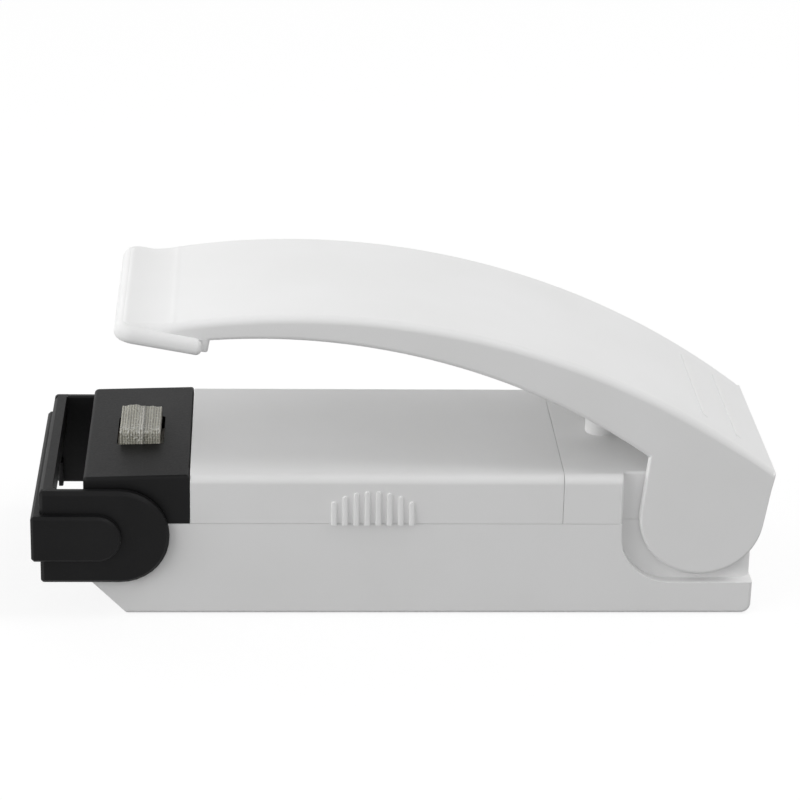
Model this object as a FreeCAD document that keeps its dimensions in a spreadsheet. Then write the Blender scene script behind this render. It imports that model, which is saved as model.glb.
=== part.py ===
"""Hand-held bag heat sealer: a press lever with a soft foot over a small heated strip, run by two cells.

Millimetres. +X points to the lever's hinge, the heated head is at -X, +Z is up, and the origin lies on the
flat underside in the middle of the body. The lever is modelled open and the guard level.
"""
import FreeCAD, Part
import Sketcher
import math
import os
from types import SimpleNamespace

Vector = FreeCAD.Vector
UP = Vector(0, 0, 1)

# Driving dimensions, in millimetres and degrees
DIMENSIONS = {
    # body
    "body_width": 38.0,
    "parting_height": 15.4,
    "wall": 1.8,
    "seam_gap": 0.1,
    "head_length": 16.5,
    "nose_chamfer": 6.6,
    "heel_radius": 1.6,
    "sole_radius": 0.6,
    "top_radius": 1.5,
    "core_corner_radius": 2.4,
    "head_edge_radius": 0.5,
    "recess_gap": 2.8,
    "recess_radius": 8.0,
    # hinge
    "pivot_inset": 8.6,
    "pin_rise": 1.0,
    "pin_radius": 1.5,
    "running_fit": 0.05,
    "socket_floor": 0.6,
    "pin_end_gap": 0.1,
    "knuckle_radius": 9.8,
    "knuckle_gap": 1.25,
    "cheek_thickness": 1.7,
    "cheek_clearance": 0.3,
    "cheek_reach": 8.8,
    # lever
    "press_angle": 10.4,
    "plate_thickness": 1.8,
    "apex_back": 24.15,
    "heel_rise": 0.5,
    "crown_height": 4.48,
    "skirt_back": 18.65,
    "cheek_rise": 3.0,
    "skirt_depth": 3.8,
    "rear_overhang": 11.1,
    "stop_chamfer": 0.5,
    "lever_edge_radius": 1.2,
    "crease_back": 5.65,
    "dip_radius": 23.0,
    "tip_chamfer": 0.9,
    "ridge_front": 0.4,
    "ridge_rear": 5.8,
    "ridge_width": 0.7,
    "ridge_height": 0.2,
    "ridge_length": 27.0,
    "cross_rib_thickness": 1.2,
    "cross_rib_depth": 2.4,
    "cross_rib_pitch": 16.0,
    # lever foot and pad
    "lip_front": 7.3,
    "lip_back": 6.2,
    "lip_overhang": 1.05,
    "lip_thickness": 2.6,
    "lip_corner_radius": 3.0,
    "lip_edge_radius": 0.9,
    "foot_back": 7.2,
    "foot_wall": 1.5,
    "holder_thickness": 2.2,
    "holder_clearance": 0.15,
    "pad_length": 8.4,
    "pad_width": 14.0,
    "pad_exposed": 3.25,
    "pad_seat": 1.2,
    "pad_touch_gap": 0.05,
    # heater
    "heater_inset": 8.15,
    "patch_length": 6.6,
    "patch_width": 10.8,
    "patch_height": 2.0,
    "cloth_thickness": 0.3,
    "ribbon_thickness": 0.2,
    "ribbon_width": 4.0,
    "ribbon_foot": 2.6,
    "block_side_gap": 0.2,
    "shoulder_reach": 1.6,
    "shoulder_height": 2.0,
    "window_gap": 0.4,
    "pedestal_gap": 0.2,
    # cells and contacts
    "cell_radius": 7.25,
    "cell_length": 49.2,
    "nub_radius": 2.75,
    "nub_length": 1.3,
    "cell_bevel": 0.6,
    "cell_gap": 0.5,
    "spring_room": 4.9,
    "cell_sink": 2.9,
    "cradle_gap": 0.15,
    "cradle_drop": 3.0,
    "cradle_thickness": 2.0,
    "cradle_pitch": 17.0,
    "strip_thickness": 0.4,
    "strip_width": 6.0,
    "strip_offset": 7.0,
    "strip_sink": 1.2,
    "strip_drop": 6.2,
    "strip_notch_gap": 0.2,
    # switch
    "plunger_reach": 14.4,
    "rib_height": 12.5,
    "rib_length": 7.0,
    "rib_width": 6.0,
    "plunger_touch_gap": 0.12,
    "stem_radius": 2.4,
    "dome_radius": 4.0,
    "flange_radius": 5.2,
    "flange_side_gap": 0.4,
    "flange_thickness": 1.5,
    "flange_stop_gap": 0.1,
    "spigot_radius": 1.9,
    "spigot_length": 3.0,
    "ring_thickness": 0.5,
    "ring_bore_gap": 0.6,
    "guide_radius": 4.4,
    "post_radius": 1.9,
    "post_height": 2.5,
    # springs
    "return_wire": 0.6,
    "post_gap": 0.5,
    "contact_wire": 0.6,
    "contact_radius": 3.2,
    "spring_end_gap": 0.05,
    # guard
    "guard_inset": 5.8,
    "pin_cover_gap": 0.15,
    "guard_radius": 7.5,
    "guard_reach": 12.5,
    "guard_wall": 1.4,
    "arm_thickness": 1.7,
    "arm_clearance": 0.2,
    "band_height": 7.6,
    "band_depth": 1.3,
    "band_reach": 3.7,
    "notch_margin": 2.2,
    "guard_pin_radius": 1.3,
    "guard_corner_radius": 0.8,
    # battery cover
    "cover_wall": 2.2,
    "end_wall": 1.2,
    "grip_pitch": 1.73,
    "grip_width": 0.85,
    "grip_depth": 0.4,
    "grip_shift": 0.7,
    "grip_side_height": 3.7,
    "grip_arch_height": 5.45,
    "tongue_length": 8.0,
    "tongue_depth": 1.5,
    "tongue_thickness": 1.2,
    "tongue_gap": 0.2,
    "tongue_pitch": 34.0,
    "hold_down_gap": 0.3,
    "hold_down_depth": 1.65,
    # screws
    "screw_radius": 1.1,
    "screw_bite": 5.0,
    "screw_head_radius": 2.0,
    "screw_head_height": 1.1,
    "screw_slot_width": 0.6,
    "screw_hole_gap": 0.15,
    "screw_bite_gap": 0.02,
    "screw_sink": 1.3,
    "boss_radius": 2.4,
    "boss_height": 9.0,
    "front_screw_inset": 4.5,
    "front_boss_gap": 0.8,
    "rear_screw_inset": 4.4,
    "rear_screw_spread": 10.0,
}
GRIP_COUNT = 8
CROSS_RIB_COUNT = 3
CRADLE_COUNT = 3
RETURN_TURNS = 7
CONTACT_TURNS = 3


class Size:
    """A number together with the sheet formula that gives it, so that one sum serves both."""

    def __init__(self, value, text):
        self.value = value
        self.text = text

    def __add__(self, other):
        return combine(self, "+", other, self.value + number(other))

    def __radd__(self, other):
        return combine(other, "+", self, number(other) + self.value)

    def __sub__(self, other):
        return combine(self, "-", other, self.value - number(other))

    def __rsub__(self, other):
        return combine(other, "-", self, number(other) - self.value)

    def __mul__(self, other):
        return combine(self, "*", other, self.value * number(other))

    def __rmul__(self, other):
        return combine(other, "*", self, number(other) * self.value)

    def __truediv__(self, other):
        return combine(self, "/", other, self.value / number(other))

    def __rtruediv__(self, other):
        return combine(other, "/", self, number(other) / self.value)

    def __neg__(self):
        return Size(-self.value, f"(-{self.text})")


def number(item):
    """Plain number of a Size or of a number."""
    return item.value if isinstance(item, Size) else float(item)


def formula(item):
    """Sheet formula of a Size or of a number."""
    return item.text if isinstance(item, Size) else repr(float(item))


def combine(left, sign, right, value):
    """Result of one sum, with its formula."""
    return Size(value, f"({formula(left)} {sign} {formula(right)})")


def root(item):
    """Square root."""
    return Size(math.sqrt(item.value), f"sqrt({item.text})")


def sine(angle):
    """Sine of an angle in degrees."""
    return Size(math.sin(math.radians(angle.value)), f"sin({angle.text} * 1 deg)")


def cosine(angle):
    """Cosine of an angle in degrees."""
    return Size(math.cos(math.radians(angle.value)), f"cos({angle.text} * 1 deg)")


doc = FreeCAD.newDocument("bag_sealer")
sheet = doc.addObject("Spreadsheet::Sheet", "Sizes")
for row, (alias, amount) in enumerate(DIMENSIONS.items(), start=1):
    sheet.set(f"A{row}", alias)
    sheet.set(f"B{row}", str(amount))
    sheet.setAlias(f"B{row}", alias)
doc.recompute()
d = SimpleNamespace(**{alias: Size(amount, f"Sizes.{alias}") for alias, amount in DIMENSIONS.items()})
nodes = []


def bind(item, path, size):
    """Ties one property of an object to its formula."""
    item.setExpression(path, formula(size))


def new_body(label):
    """Empty body that becomes one sub-part."""
    body = doc.addObject("PartDesign::Body", label)
    body.Label = label
    nodes.append(body)
    return body


def new_sketch(body, name, plane, offset=None):
    """Sketch on one of the body's own origin planes, moved along the plane's normal by offset."""
    sketch = body.newObject("Sketcher::SketchObject", f"{body.Label}_{name}")
    support = next(item for item in body.Origin.OriginFeatures if item.Role == plane)
    sketch.AttachmentSupport = [(support, "")]
    sketch.MapMode = "FlatFace"
    if offset is not None:
        bind(sketch, "AttachmentOffset.Base.z", offset)
    return sketch


def pin_point(sketch, edge, end, across, up):
    """Fixes a point of the sketch at formulas for its two coordinates."""
    for kind, axis, place in (("DistanceX", -2, across), ("DistanceY", -1, up)):
        if number(place) == 0:
            sketch.addConstraint(Sketcher.Constraint("PointOnObject", edge, end, axis))
            continue
        index = sketch.addConstraint(Sketcher.Constraint(kind, -1, 1, edge, end, number(place)))
        if isinstance(place, Size):
            bind(sketch, f"Constraints[{index}]", place)


def add_outline(sketch, corners):
    """Closed outline. A corner is (across, up), or (across, up, radius) where an arc leaves it: a positive
    radius turns left, a negative one turns right. A half circle is held by its centre."""
    first = sketch.GeometryCount
    count = len(corners)
    starts = []
    ends = []
    for index, corner in enumerate(corners):
        begin = Vector(number(corner[0]), number(corner[1]), 0)
        after = corners[(index + 1) % count]
        finish = Vector(number(after[0]), number(after[1]), 0)
        if len(corner) == 2:
            sketch.addGeometry(Part.LineSegment(begin, finish), False)
            starts.append(1)
            ends.append(2)
            continue
        radius = abs(number(corner[2]))
        left = number(corner[2]) > 0
        chord = finish - begin
        reach = math.sqrt(max(radius ** 2 - (chord.Length / 2) ** 2, 0.0))
        side = Vector(-chord.y, chord.x, 0).normalize() * (reach if left else -reach)
        centre = (begin + finish) * 0.5 + side
        from_point, to_point = (begin, finish) if left else (finish, begin)
        angles = [math.atan2(point.y - centre.y, point.x - centre.x) for point in (from_point, to_point)]
        if angles[1] < angles[0]:
            angles[1] += 2 * math.pi
        sketch.addGeometry(Part.ArcOfCircle(Part.Circle(centre, UP, radius), *angles), False)
        starts.append(1 if left else 2)
        ends.append(2 if left else 1)
    for index in range(count):
        after = (index + 1) % count
        joint = (first + index, ends[index], first + after, starts[after])
        sketch.addConstraint(Sketcher.Constraint("Coincident", *joint))
    for index, corner in enumerate(corners):
        pin_point(sketch, first + index, starts[index], corner[0], corner[1])
    for index, corner in enumerate(corners):
        if len(corner) == 2:
            continue
        after = corners[(index + 1) % count]
        radius = corner[2] if number(corner[2]) > 0 else -corner[2]
        upright = near(number(corner[0]), after[0])
        level = near(number(corner[1]), after[1])
        span = abs(number(corner[0]) - number(after[0])) + abs(number(corner[1]) - number(after[1]))
        if (upright or level) and near(span, 2 * radius):
            kind, place = ("DistanceX", corner[0]) if upright else ("DistanceY", corner[1])
            fixed = sketch.addConstraint(Sketcher.Constraint(kind, -1, 1, first + index, 3, number(place)))
            bind(sketch, f"Constraints[{fixed}]", place)
            continue
        fixed = sketch.addConstraint(Sketcher.Constraint("Radius", first + index, number(radius)))
        bind(sketch, f"Constraints[{fixed}]", radius)


def add_circle(sketch, across, up, radius):
    """Circle in a sketch."""
    centre = Vector(number(across), number(up), 0)
    edge = sketch.addGeometry(Part.Circle(centre, UP, number(radius)), False)
    pin_point(sketch, edge, 3, across, up)
    index = sketch.addConstraint(Sketcher.Constraint("Radius", edge, number(radius)))
    bind(sketch, f"Constraints[{index}]", radius)


def rectangle(left, right, low, high):
    """Corners of an upright rectangle."""
    return [(left, low), (right, low), (right, high), (left, high)]


def pad(sketch, length, symmetric=True, reverse=False):
    """Adds the sketch's area to its body, both ways from the plane or one way."""
    return raise_profile("PartDesign::Pad", sketch, length, symmetric, reverse)


def pocket(sketch, length, symmetric=True, reverse=False):
    """Cuts the sketch's area from its body and makes sure that something was cut."""
    body = sketch.getParentGeoFeatureGroup()
    before = body.Tip.Shape.Volume
    feature = raise_profile("PartDesign::Pocket", sketch, length, symmetric, reverse)
    if feature.Shape.Volume > before - 1e-6:
        raise RuntimeError(f"{sketch.Name} cuts nothing")
    return feature


def raise_profile(kind, sketch, length, symmetric, reverse):
    """Pad or pocket of a sketch."""
    body = sketch.getParentGeoFeatureGroup()
    feature = body.newObject(kind, f"{sketch.Name}_{kind.split('::')[1].lower()}")
    feature.Profile = sketch
    feature.SideType = "Symmetric" if symmetric else "One side"
    feature.Reversed = reverse
    bind(feature, "Length", length)
    doc.recompute()
    return feature


def block(body, name, plane, corners, length, cut=False, offset=None, symmetric=True, reverse=False):
    """Pad or pocket of one outline."""
    sketch = new_sketch(body, name, plane, offset)
    add_outline(sketch, corners)
    return (pocket if cut else pad)(sketch, length, symmetric, reverse)


def bar(body, name, plane, centres, radius, length, cut=False, offset=None, symmetric=True, reverse=False):
    """Pad or pocket of equal circles."""
    sketch = new_sketch(body, name, plane, offset)
    for across, up in centres:
        add_circle(sketch, across, up, radius)
    return (pocket if cut else pad)(sketch, length, symmetric, reverse)


def round_edges(body, name, radius, chosen):
    """Fillet of the body's edges whose middle point and direction pass the given test."""
    shape = body.Tip.Shape
    names = []
    for index, edge in enumerate(shape.Edges, start=1):
        middle = edge.valueAt((edge.FirstParameter + edge.LastParameter) / 2)
        along = edge.tangentAt((edge.FirstParameter + edge.LastParameter) / 2)
        if chosen(middle, along):
            names.append(f"Edge{index}")
    base = body.Tip
    fillet = body.newObject("PartDesign::Fillet", f"{body.Label}_{name}")
    fillet.Base = (base, names)
    bind(fillet, "Radius", radius)
    doc.recompute()
    if "Invalid" in fillet.State:
        raise RuntimeError(f"{fillet.Name} cannot round {len(names)} edges")
    return fillet


def near(one, other):
    """True for two coordinates that agree."""
    return abs(one - number(other)) < 0.01


def revolve(body, name, plane, corners, axis):
    """Solid of revolution of one outline about an axis of its sketch."""
    sketch = new_sketch(body, name, plane)
    add_outline(sketch, corners)
    turned = body.newObject("PartDesign::Revolution", f"{body.Label}_{name}_turned")
    turned.Profile = sketch
    turned.ReferenceAxis = (sketch, [axis])
    turned.Angle = 360
    doc.recompute()
    return turned


# Sizes that follow from others: the body is as long and as high as the cells, the switch and the hinge need
d.pivot_height = d.parting_height + d.pin_rise
d.cell_height = d.parting_height - d.cell_sink
d.cell_spacing = 2 * d.cell_radius + d.cell_gap
d.body_height = d.cell_height + d.cell_radius + d.hold_down_gap + d.hold_down_depth + d.wall
d.cover_length = d.cell_length + d.nub_length + d.spring_room + 2 * d.strip_thickness + d.wall
d.tail_length = d.seam_gap + d.wall + d.flange_side_gap + d.flange_radius + d.plunger_reach + d.pivot_inset
d.body_length = d.head_length + d.cover_length + d.tail_length
d.ledge_height = d.pivot_height - d.knuckle_radius - d.knuckle_gap
d.strip_height = d.parting_height - d.strip_sink
d.guard_height = d.parting_height - d.guard_pin_radius - d.pin_cover_gap
d.return_radius = d.post_radius + d.return_wire / 2 + d.post_gap
d.ring_bore_radius = d.return_radius + d.return_wire / 2 + d.ring_bore_gap
d.front_screw_spread = d.strip_offset + d.strip_width / 2 + d.front_boss_gap + d.boss_radius
d.screw_length = d.wall / 2 + d.boss_height + d.seam_gap + d.screw_bite - d.screw_sink

# Places that several pieces share
half_width = d.body_width / 2
front_x = -d.body_length / 2
rear_x = d.body_length / 2
front_seam = front_x + d.head_length
rear_seam = front_seam + d.cover_length
pivot_x = rear_x - d.pivot_inset
pivot_z = d.pivot_height
recess_depth = d.cheek_thickness + d.cheek_clearance
core_width = d.body_width - 2 * recess_depth
recess_x = pivot_x - d.knuckle_radius - d.recess_gap
deck_under = d.body_height - d.wall
heater_x = front_seam - d.heater_inset
patch_top = d.body_height + d.patch_height
ribbon_top = patch_top - d.cloth_thickness
block_top = ribbon_top - d.ribbon_thickness
block_half = d.patch_width / 2 - d.cloth_thickness - d.ribbon_thickness
guard_x = front_x + d.guard_inset
plunger_x = pivot_x - d.plunger_reach
strip_top = d.strip_height + d.strip_thickness
lift = d.parting_height + d.seam_gap
past = d.wall
bulkhead_half = d.wall / 2
front_bulkhead_face = front_seam + bulkhead_half
rear_bulkhead_face = rear_seam - bulkhead_half
half_press = d.press_angle / 2
press_slope = sine(half_press) / cosine(half_press)
plunger_travel = 2 * d.plunger_reach * press_slope
flange_low = strip_top + d.plunger_touch_gap + plunger_travel + d.ring_thickness
flange_top = flange_low + d.flange_thickness
front_screw_x = front_seam - d.front_screw_inset
rear_screw_x = rear_x - d.rear_screw_inset
SCREW_PLACES = [
    (front_screw_x, d.front_screw_spread),
    (front_screw_x, -d.front_screw_spread),
    (rear_screw_x, d.rear_screw_spread),
    (rear_screw_x, -d.rear_screw_spread),
]

# In the pressed frame, centred on the hinge, the sole of the foot is level over the heater
tilt_sine = sine(d.press_angle)
tilt_cosine = cosine(d.press_angle)
sole_rise = patch_top + d.pad_touch_gap + d.pad_exposed - pivot_z
foot_middle = heater_x - pivot_x
sole_at_heater = pivot_z + (sole_rise - foot_middle * tilt_sine) / tilt_cosine
top_apex_x = heater_x + d.apex_back
top_apex_z = sole_at_heater + d.crown_height
heel_x = pivot_x + d.rear_overhang
skirt_apex_x = heater_x + d.skirt_back
skirt_apex_z = top_apex_z - d.skirt_depth
cheek_x = pivot_x - d.cheek_reach


def arch_radius(reach, rise):
    """Radius of an arch that falls by rise over reach from its apex."""
    return (reach * reach + rise * rise) / (2 * rise)


d.top_arc_radius = arch_radius(heel_x - top_apex_x, top_apex_z - d.body_height - d.heel_rise)
d.skirt_arc_radius = arch_radius(cheek_x - skirt_apex_x, skirt_apex_z - d.body_height - d.cheek_rise)


def on_arc(place, apex_x, apex_z, radius):
    """Height of an arch at one place along the body, from its apex and its radius."""
    return apex_z - radius + root(radius * radius - (place - apex_x) * (place - apex_x))


def top_at(place, depth=0):
    """Height of the lever's top, or of an arch concentric with it and deeper by the given depth."""
    return on_arc(place, top_apex_x, top_apex_z - depth, d.top_arc_radius - depth)


def skirt_at(place):
    """Height of the lower edge of the lever's skirts."""
    return on_arc(place, skirt_apex_x, skirt_apex_z, d.skirt_arc_radius)


def make_base():
    """Lower housing: tray with bulkheads, cell cradles, screw bosses, heater pedestal and hinge core."""
    body = new_body("base_case")
    side = [
        (front_x, d.nose_chamfer),
        (front_x + d.nose_chamfer, 0),
        (rear_x - d.heel_radius, 0, d.heel_radius),
        (rear_x, d.heel_radius),
        (rear_x, d.ledge_height),
        (recess_x + d.recess_radius, d.ledge_height, -d.recess_radius),
        (recess_x, d.ledge_height + d.recess_radius),
        (recess_x, d.parting_height),
        (front_x, d.parting_height),
    ]
    block(body, "side", "XZ_Plane", side, d.body_width)
    round_edges(body, "sole", d.sole_radius, lambda middle, along: near(middle.z, 0) and abs(along.x) > 0.9)
    core = rectangle(recess_x - d.wall, rear_x, d.ledge_height - d.wall, d.parting_height)
    block(body, "core", "XZ_Plane", core, core_width)
    round_edges(body, "core_corners", d.core_corner_radius,
                lambda middle, along: near(middle.x, rear_x) and abs(along.z) > 0.9
                and middle.z > d.ledge_height.value)
    slope = d.wall * (math.sqrt(2) - 1)
    cavity = [
        (front_x + d.wall, d.nose_chamfer + slope),
        (front_x + d.nose_chamfer + slope, d.wall),
        (recess_x - d.wall, d.wall),
        (recess_x - d.wall, d.parting_height + past),
        (front_x + d.wall, d.parting_height + past),
    ]
    block(body, "cavity", "XZ_Plane", cavity, d.body_width - 2 * d.wall, cut=True)
    rear_room = rectangle(recess_x - d.wall - past, rear_x - d.wall, d.wall, d.parting_height + past)
    block(body, "rear_room", "XZ_Plane", rear_room, core_width - 2 * d.wall, cut=True)
    for name, place in (("front_bulkhead", front_seam), ("rear_bulkhead", rear_seam)):
        plate = rectangle(place - bulkhead_half, place + bulkhead_half, d.wall / 2, d.parting_height)
        block(body, name, "XZ_Plane", plate, d.body_width - d.wall)
    add_cradles(body)
    pedestal_half = d.strip_offset - d.strip_width / 2 - 2 * d.strip_notch_gap
    pedestal = rectangle(heater_x - d.ribbon_width / 2, heater_x + d.ribbon_width / 2,
                         d.wall / 2, strip_top + d.pedestal_gap)
    block(body, "pedestal", "XZ_Plane", pedestal, 2 * pedestal_half)
    bar(body, "bosses", "XY_Plane", SCREW_PLACES, d.boss_radius, d.boss_height,
        symmetric=False, offset=d.wall / 2)
    bar(body, "post", "XY_Plane", [(plunger_x, 0)], d.post_radius, d.wall / 2 + d.post_height,
        symmetric=False, offset=d.wall / 2)
    notches = new_sketch(body, "strip_notches", "YZ_Plane")
    notch_half = d.strip_width / 2 + d.strip_notch_gap
    for side_sign in (-1, 1):
        middle = side_sign * d.strip_offset
        add_outline(notches, rectangle(middle - notch_half, middle + notch_half,
                                       d.strip_height - d.strip_notch_gap, d.parting_height + past))
    cut_notches = raise_profile("PartDesign::Pocket", notches, rear_seam + d.wall, False, True)
    cut_notches.SideType = "Two sides"
    bind(cut_notches, "Length2", d.wall - front_seam)
    doc.recompute()
    pin_room = d.guard_pin_radius + d.running_fit
    guard_notch = [
        (guard_x - pin_room, d.parting_height + past),
        (guard_x - pin_room, d.guard_height, pin_room),
        (guard_x + pin_room, d.guard_height),
        (guard_x + pin_room, d.parting_height + past),
    ]
    block(body, "guard_notch", "XZ_Plane", guard_notch, d.body_width + 2 * past, cut=True)
    bar(body, "pin_notch", "XZ_Plane", [(pivot_x, pivot_z)], d.pin_radius + d.running_fit,
        d.body_width, cut=True)
    bar(body, "screw_holes", "XY_Plane", SCREW_PLACES, d.screw_radius + d.screw_hole_gap,
        d.boss_height + 2 * past, cut=True, symmetric=False, reverse=True)
    bar(body, "screw_sinks", "XY_Plane", SCREW_PLACES, d.screw_head_radius + d.screw_hole_gap,
        d.screw_sink, cut=True, symmetric=False, reverse=True)


def add_cradles(body):
    """Cross ribs with two round seats each, on which the cells lie."""
    seat = d.cell_radius + d.cradle_gap
    top = d.cell_height - d.cradle_drop
    half_chord = root(seat * seat - d.cradle_drop * d.cradle_drop)
    middle = d.cell_spacing / 2
    edge = half_width - d.wall / 2
    rib = [
        (-edge, d.wall / 2),
        (edge, d.wall / 2),
        (edge, top),
        (middle + half_chord, top, -seat),
        (middle - half_chord, top),
        (-middle + half_chord, top, -seat),
        (-middle - half_chord, top),
        (-edge, top),
    ]
    for index in range(CRADLE_COUNT):
        place = (front_seam + rear_seam) / 2 + (index - (CRADLE_COUNT - 1) / 2) * d.cradle_pitch
        block(body, f"cradle_{index + 1}", "YZ_Plane", rib, d.cradle_thickness, offset=place)


def make_rear_cover():
    """Deck behind the battery cover: hinge core above the parting line, plunger guide and screw bosses."""
    body = new_body("rear_cover")
    front = rear_seam + d.seam_gap
    block(body, "deck", "XZ_Plane", rectangle(front, recess_x, lift, d.body_height), d.body_width)
    round_edges(body, "deck_edges", d.top_radius,
                lambda middle, along: near(middle.z, d.body_height) and abs(along.x) > 0.9)
    core = [
        (recess_x - d.wall, lift),
        (rear_x, lift),
        (rear_x, d.body_height - d.stop_chamfer),
        (rear_x - d.stop_chamfer, d.body_height),
        (recess_x - d.wall, d.body_height),
    ]
    block(body, "core", "XZ_Plane", core, core_width)
    round_edges(body, "core_corners", d.core_corner_radius,
                lambda middle, along: near(middle.x, rear_x) and abs(along.z) > 0.9)
    front_room = rectangle(front + d.wall, recess_x - d.wall, lift - past, deck_under)
    block(body, "front_room", "XZ_Plane", front_room, d.body_width - 2 * d.wall, cut=True)
    rear_room = rectangle(recess_x - d.wall - past, rear_x - d.wall, lift - past, deck_under)
    block(body, "rear_room", "XZ_Plane", rear_room, core_width - 2 * d.wall, cut=True)
    bar(body, "pin_bore", "XZ_Plane", [(pivot_x, pivot_z)], d.pin_radius + d.running_fit,
        d.body_width, cut=True)
    guide_low = flange_top + d.flange_stop_gap
    bar(body, "guide", "XY_Plane", [(plunger_x, 0)], d.guide_radius, d.body_height - d.wall / 2 - guide_low,
        symmetric=False, offset=guide_low)
    bar(body, "guide_bore", "XY_Plane", [(plunger_x, 0)], d.stem_radius + d.running_fit,
        d.body_height, cut=True, symmetric=False, reverse=True)
    add_screw_bosses(body, SCREW_PLACES[2:])


def add_screw_bosses(body, places):
    """Bosses that hang from a cover onto the bosses of the base, with a pilot hole for the screws."""
    low = d.wall / 2 + d.boss_height + d.seam_gap
    bar(body, "bosses", "XY_Plane", places, d.boss_radius, deck_under + d.wall / 2 - low,
        symmetric=False, offset=low)
    bar(body, "pilots", "XY_Plane", places, d.screw_radius + d.screw_bite_gap,
        deck_under - low, cut=True, symmetric=False, reverse=True, offset=low)


def make_head():
    """Cap at the front with the window that the heater stands through."""
    body = new_body("heater_head")
    back = front_seam - d.seam_gap
    block(body, "cap", "XZ_Plane", rectangle(front_x, back, lift, d.body_height), d.body_width)
    round_edges(body, "front_corners", d.top_radius,
                lambda middle, along: near(middle.x, front_x) and abs(along.z) > 0.9)
    round_edges(body, "top_edges", d.head_edge_radius,
                lambda middle, along: near(middle.z, d.body_height) and middle.x < back.value - 0.01)
    room = rectangle(front_x + d.wall, back - d.wall, lift - past, deck_under)
    block(body, "room", "XZ_Plane", room, d.body_width - 2 * d.wall, cut=True)
    window_half = d.patch_length / 2 + d.window_gap
    window_side = d.patch_width / 2 + d.window_gap
    window = rectangle(heater_x - window_half, heater_x + window_half, -window_side, window_side)
    block(body, "window", "XY_Plane", window, d.body_height + past, cut=True, symmetric=False, reverse=True)
    add_screw_bosses(body, SCREW_PLACES[:2])


def make_battery_cover():
    """Lid over the cells: arched grip ribs outside, locating tongues and hold-down ribs inside."""
    body = new_body("battery_cover")
    front = front_seam + d.seam_gap
    rear = rear_seam - d.seam_gap
    block(body, "lid", "XZ_Plane", rectangle(front, rear, lift, d.body_height), d.body_width)
    round_edges(body, "edges", d.top_radius,
                lambda middle, along: near(middle.z, d.body_height) and abs(along.x) > 0.9)
    middle = (front_seam + rear_seam) / 2
    grips = new_sketch(body, "grips", "XZ_Plane")
    half_span = (GRIP_COUNT - 1) / 2 * d.grip_pitch
    rise = d.grip_arch_height - d.grip_side_height
    arch = arch_radius(half_span, rise)
    for index in range(GRIP_COUNT):
        along = (index - (GRIP_COUNT - 1) / 2) * d.grip_pitch
        place = middle - d.grip_shift + along
        top = lift + d.grip_arch_height - arch + root(arch * arch - along * along)
        add_outline(grips, rectangle(place - d.grip_width / 2, place + d.grip_width / 2, lift, top))
    pad(grips, d.body_width + 2 * d.grip_depth)
    inside = d.body_width - 2 * d.cover_wall
    room = rectangle(front + d.end_wall, rear - d.end_wall, lift - past, deck_under)
    block(body, "room", "XZ_Plane", room, inside, cut=True)
    tongue_outer = half_width - d.wall - d.tongue_gap
    for index, side in enumerate((-1, 1)):
        for number_along, shift in enumerate((-0.5, 0.5)):
            edges = sorted((side * tongue_outer, side * (tongue_outer - d.tongue_thickness)), key=number)
            shape = rectangle(edges[0], edges[1], d.parting_height - d.tongue_depth, deck_under + d.wall / 2)
            block(body, f"tongue_{index + 1}_{number_along + 1}", "YZ_Plane", shape, d.tongue_length,
                  offset=middle + shift * d.tongue_pitch)
    hold_low = d.cell_height + d.cell_radius + d.hold_down_gap
    for index, shift in enumerate((-0.5, 0.5)):
        rib = rectangle(-inside / 2 - d.wall / 4, inside / 2 + d.wall / 4, hold_low, deck_under + d.wall / 4)
        block(body, f"hold_down_{index + 1}", "YZ_Plane", rib, d.cradle_thickness,
              offset=middle + shift * d.cradle_pitch)


def tangent_point(across, up, side):
    """Where a line from a point, given from the hinge, touches the knuckle on the chosen side."""
    square = across * across + up * up
    along = d.knuckle_radius * d.knuckle_radius / square
    sideways = side * d.knuckle_radius * root(square - d.knuckle_radius * d.knuckle_radius) / square
    return pivot_x + across * along - up * sideways, pivot_z + up * along + across * sideways


def pressed_sketch(body, name):
    """Sketch in the frame of the pressed lever: centred on the hinge and turned up by the press angle."""
    sketch = new_sketch(body, name, "XZ_Plane")
    sketch.AttachmentOffset = FreeCAD.Placement(Vector(0, 0, 0), FreeCAD.Rotation(UP, -d.press_angle.value))
    bind(sketch, "AttachmentOffset.Base.x", pivot_x)
    bind(sketch, "AttachmentOffset.Base.y", pivot_z)
    sketch.setExpression("AttachmentOffset.Rotation.Angle", f"-{d.press_angle.text} * 1 deg")
    return sketch


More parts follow.
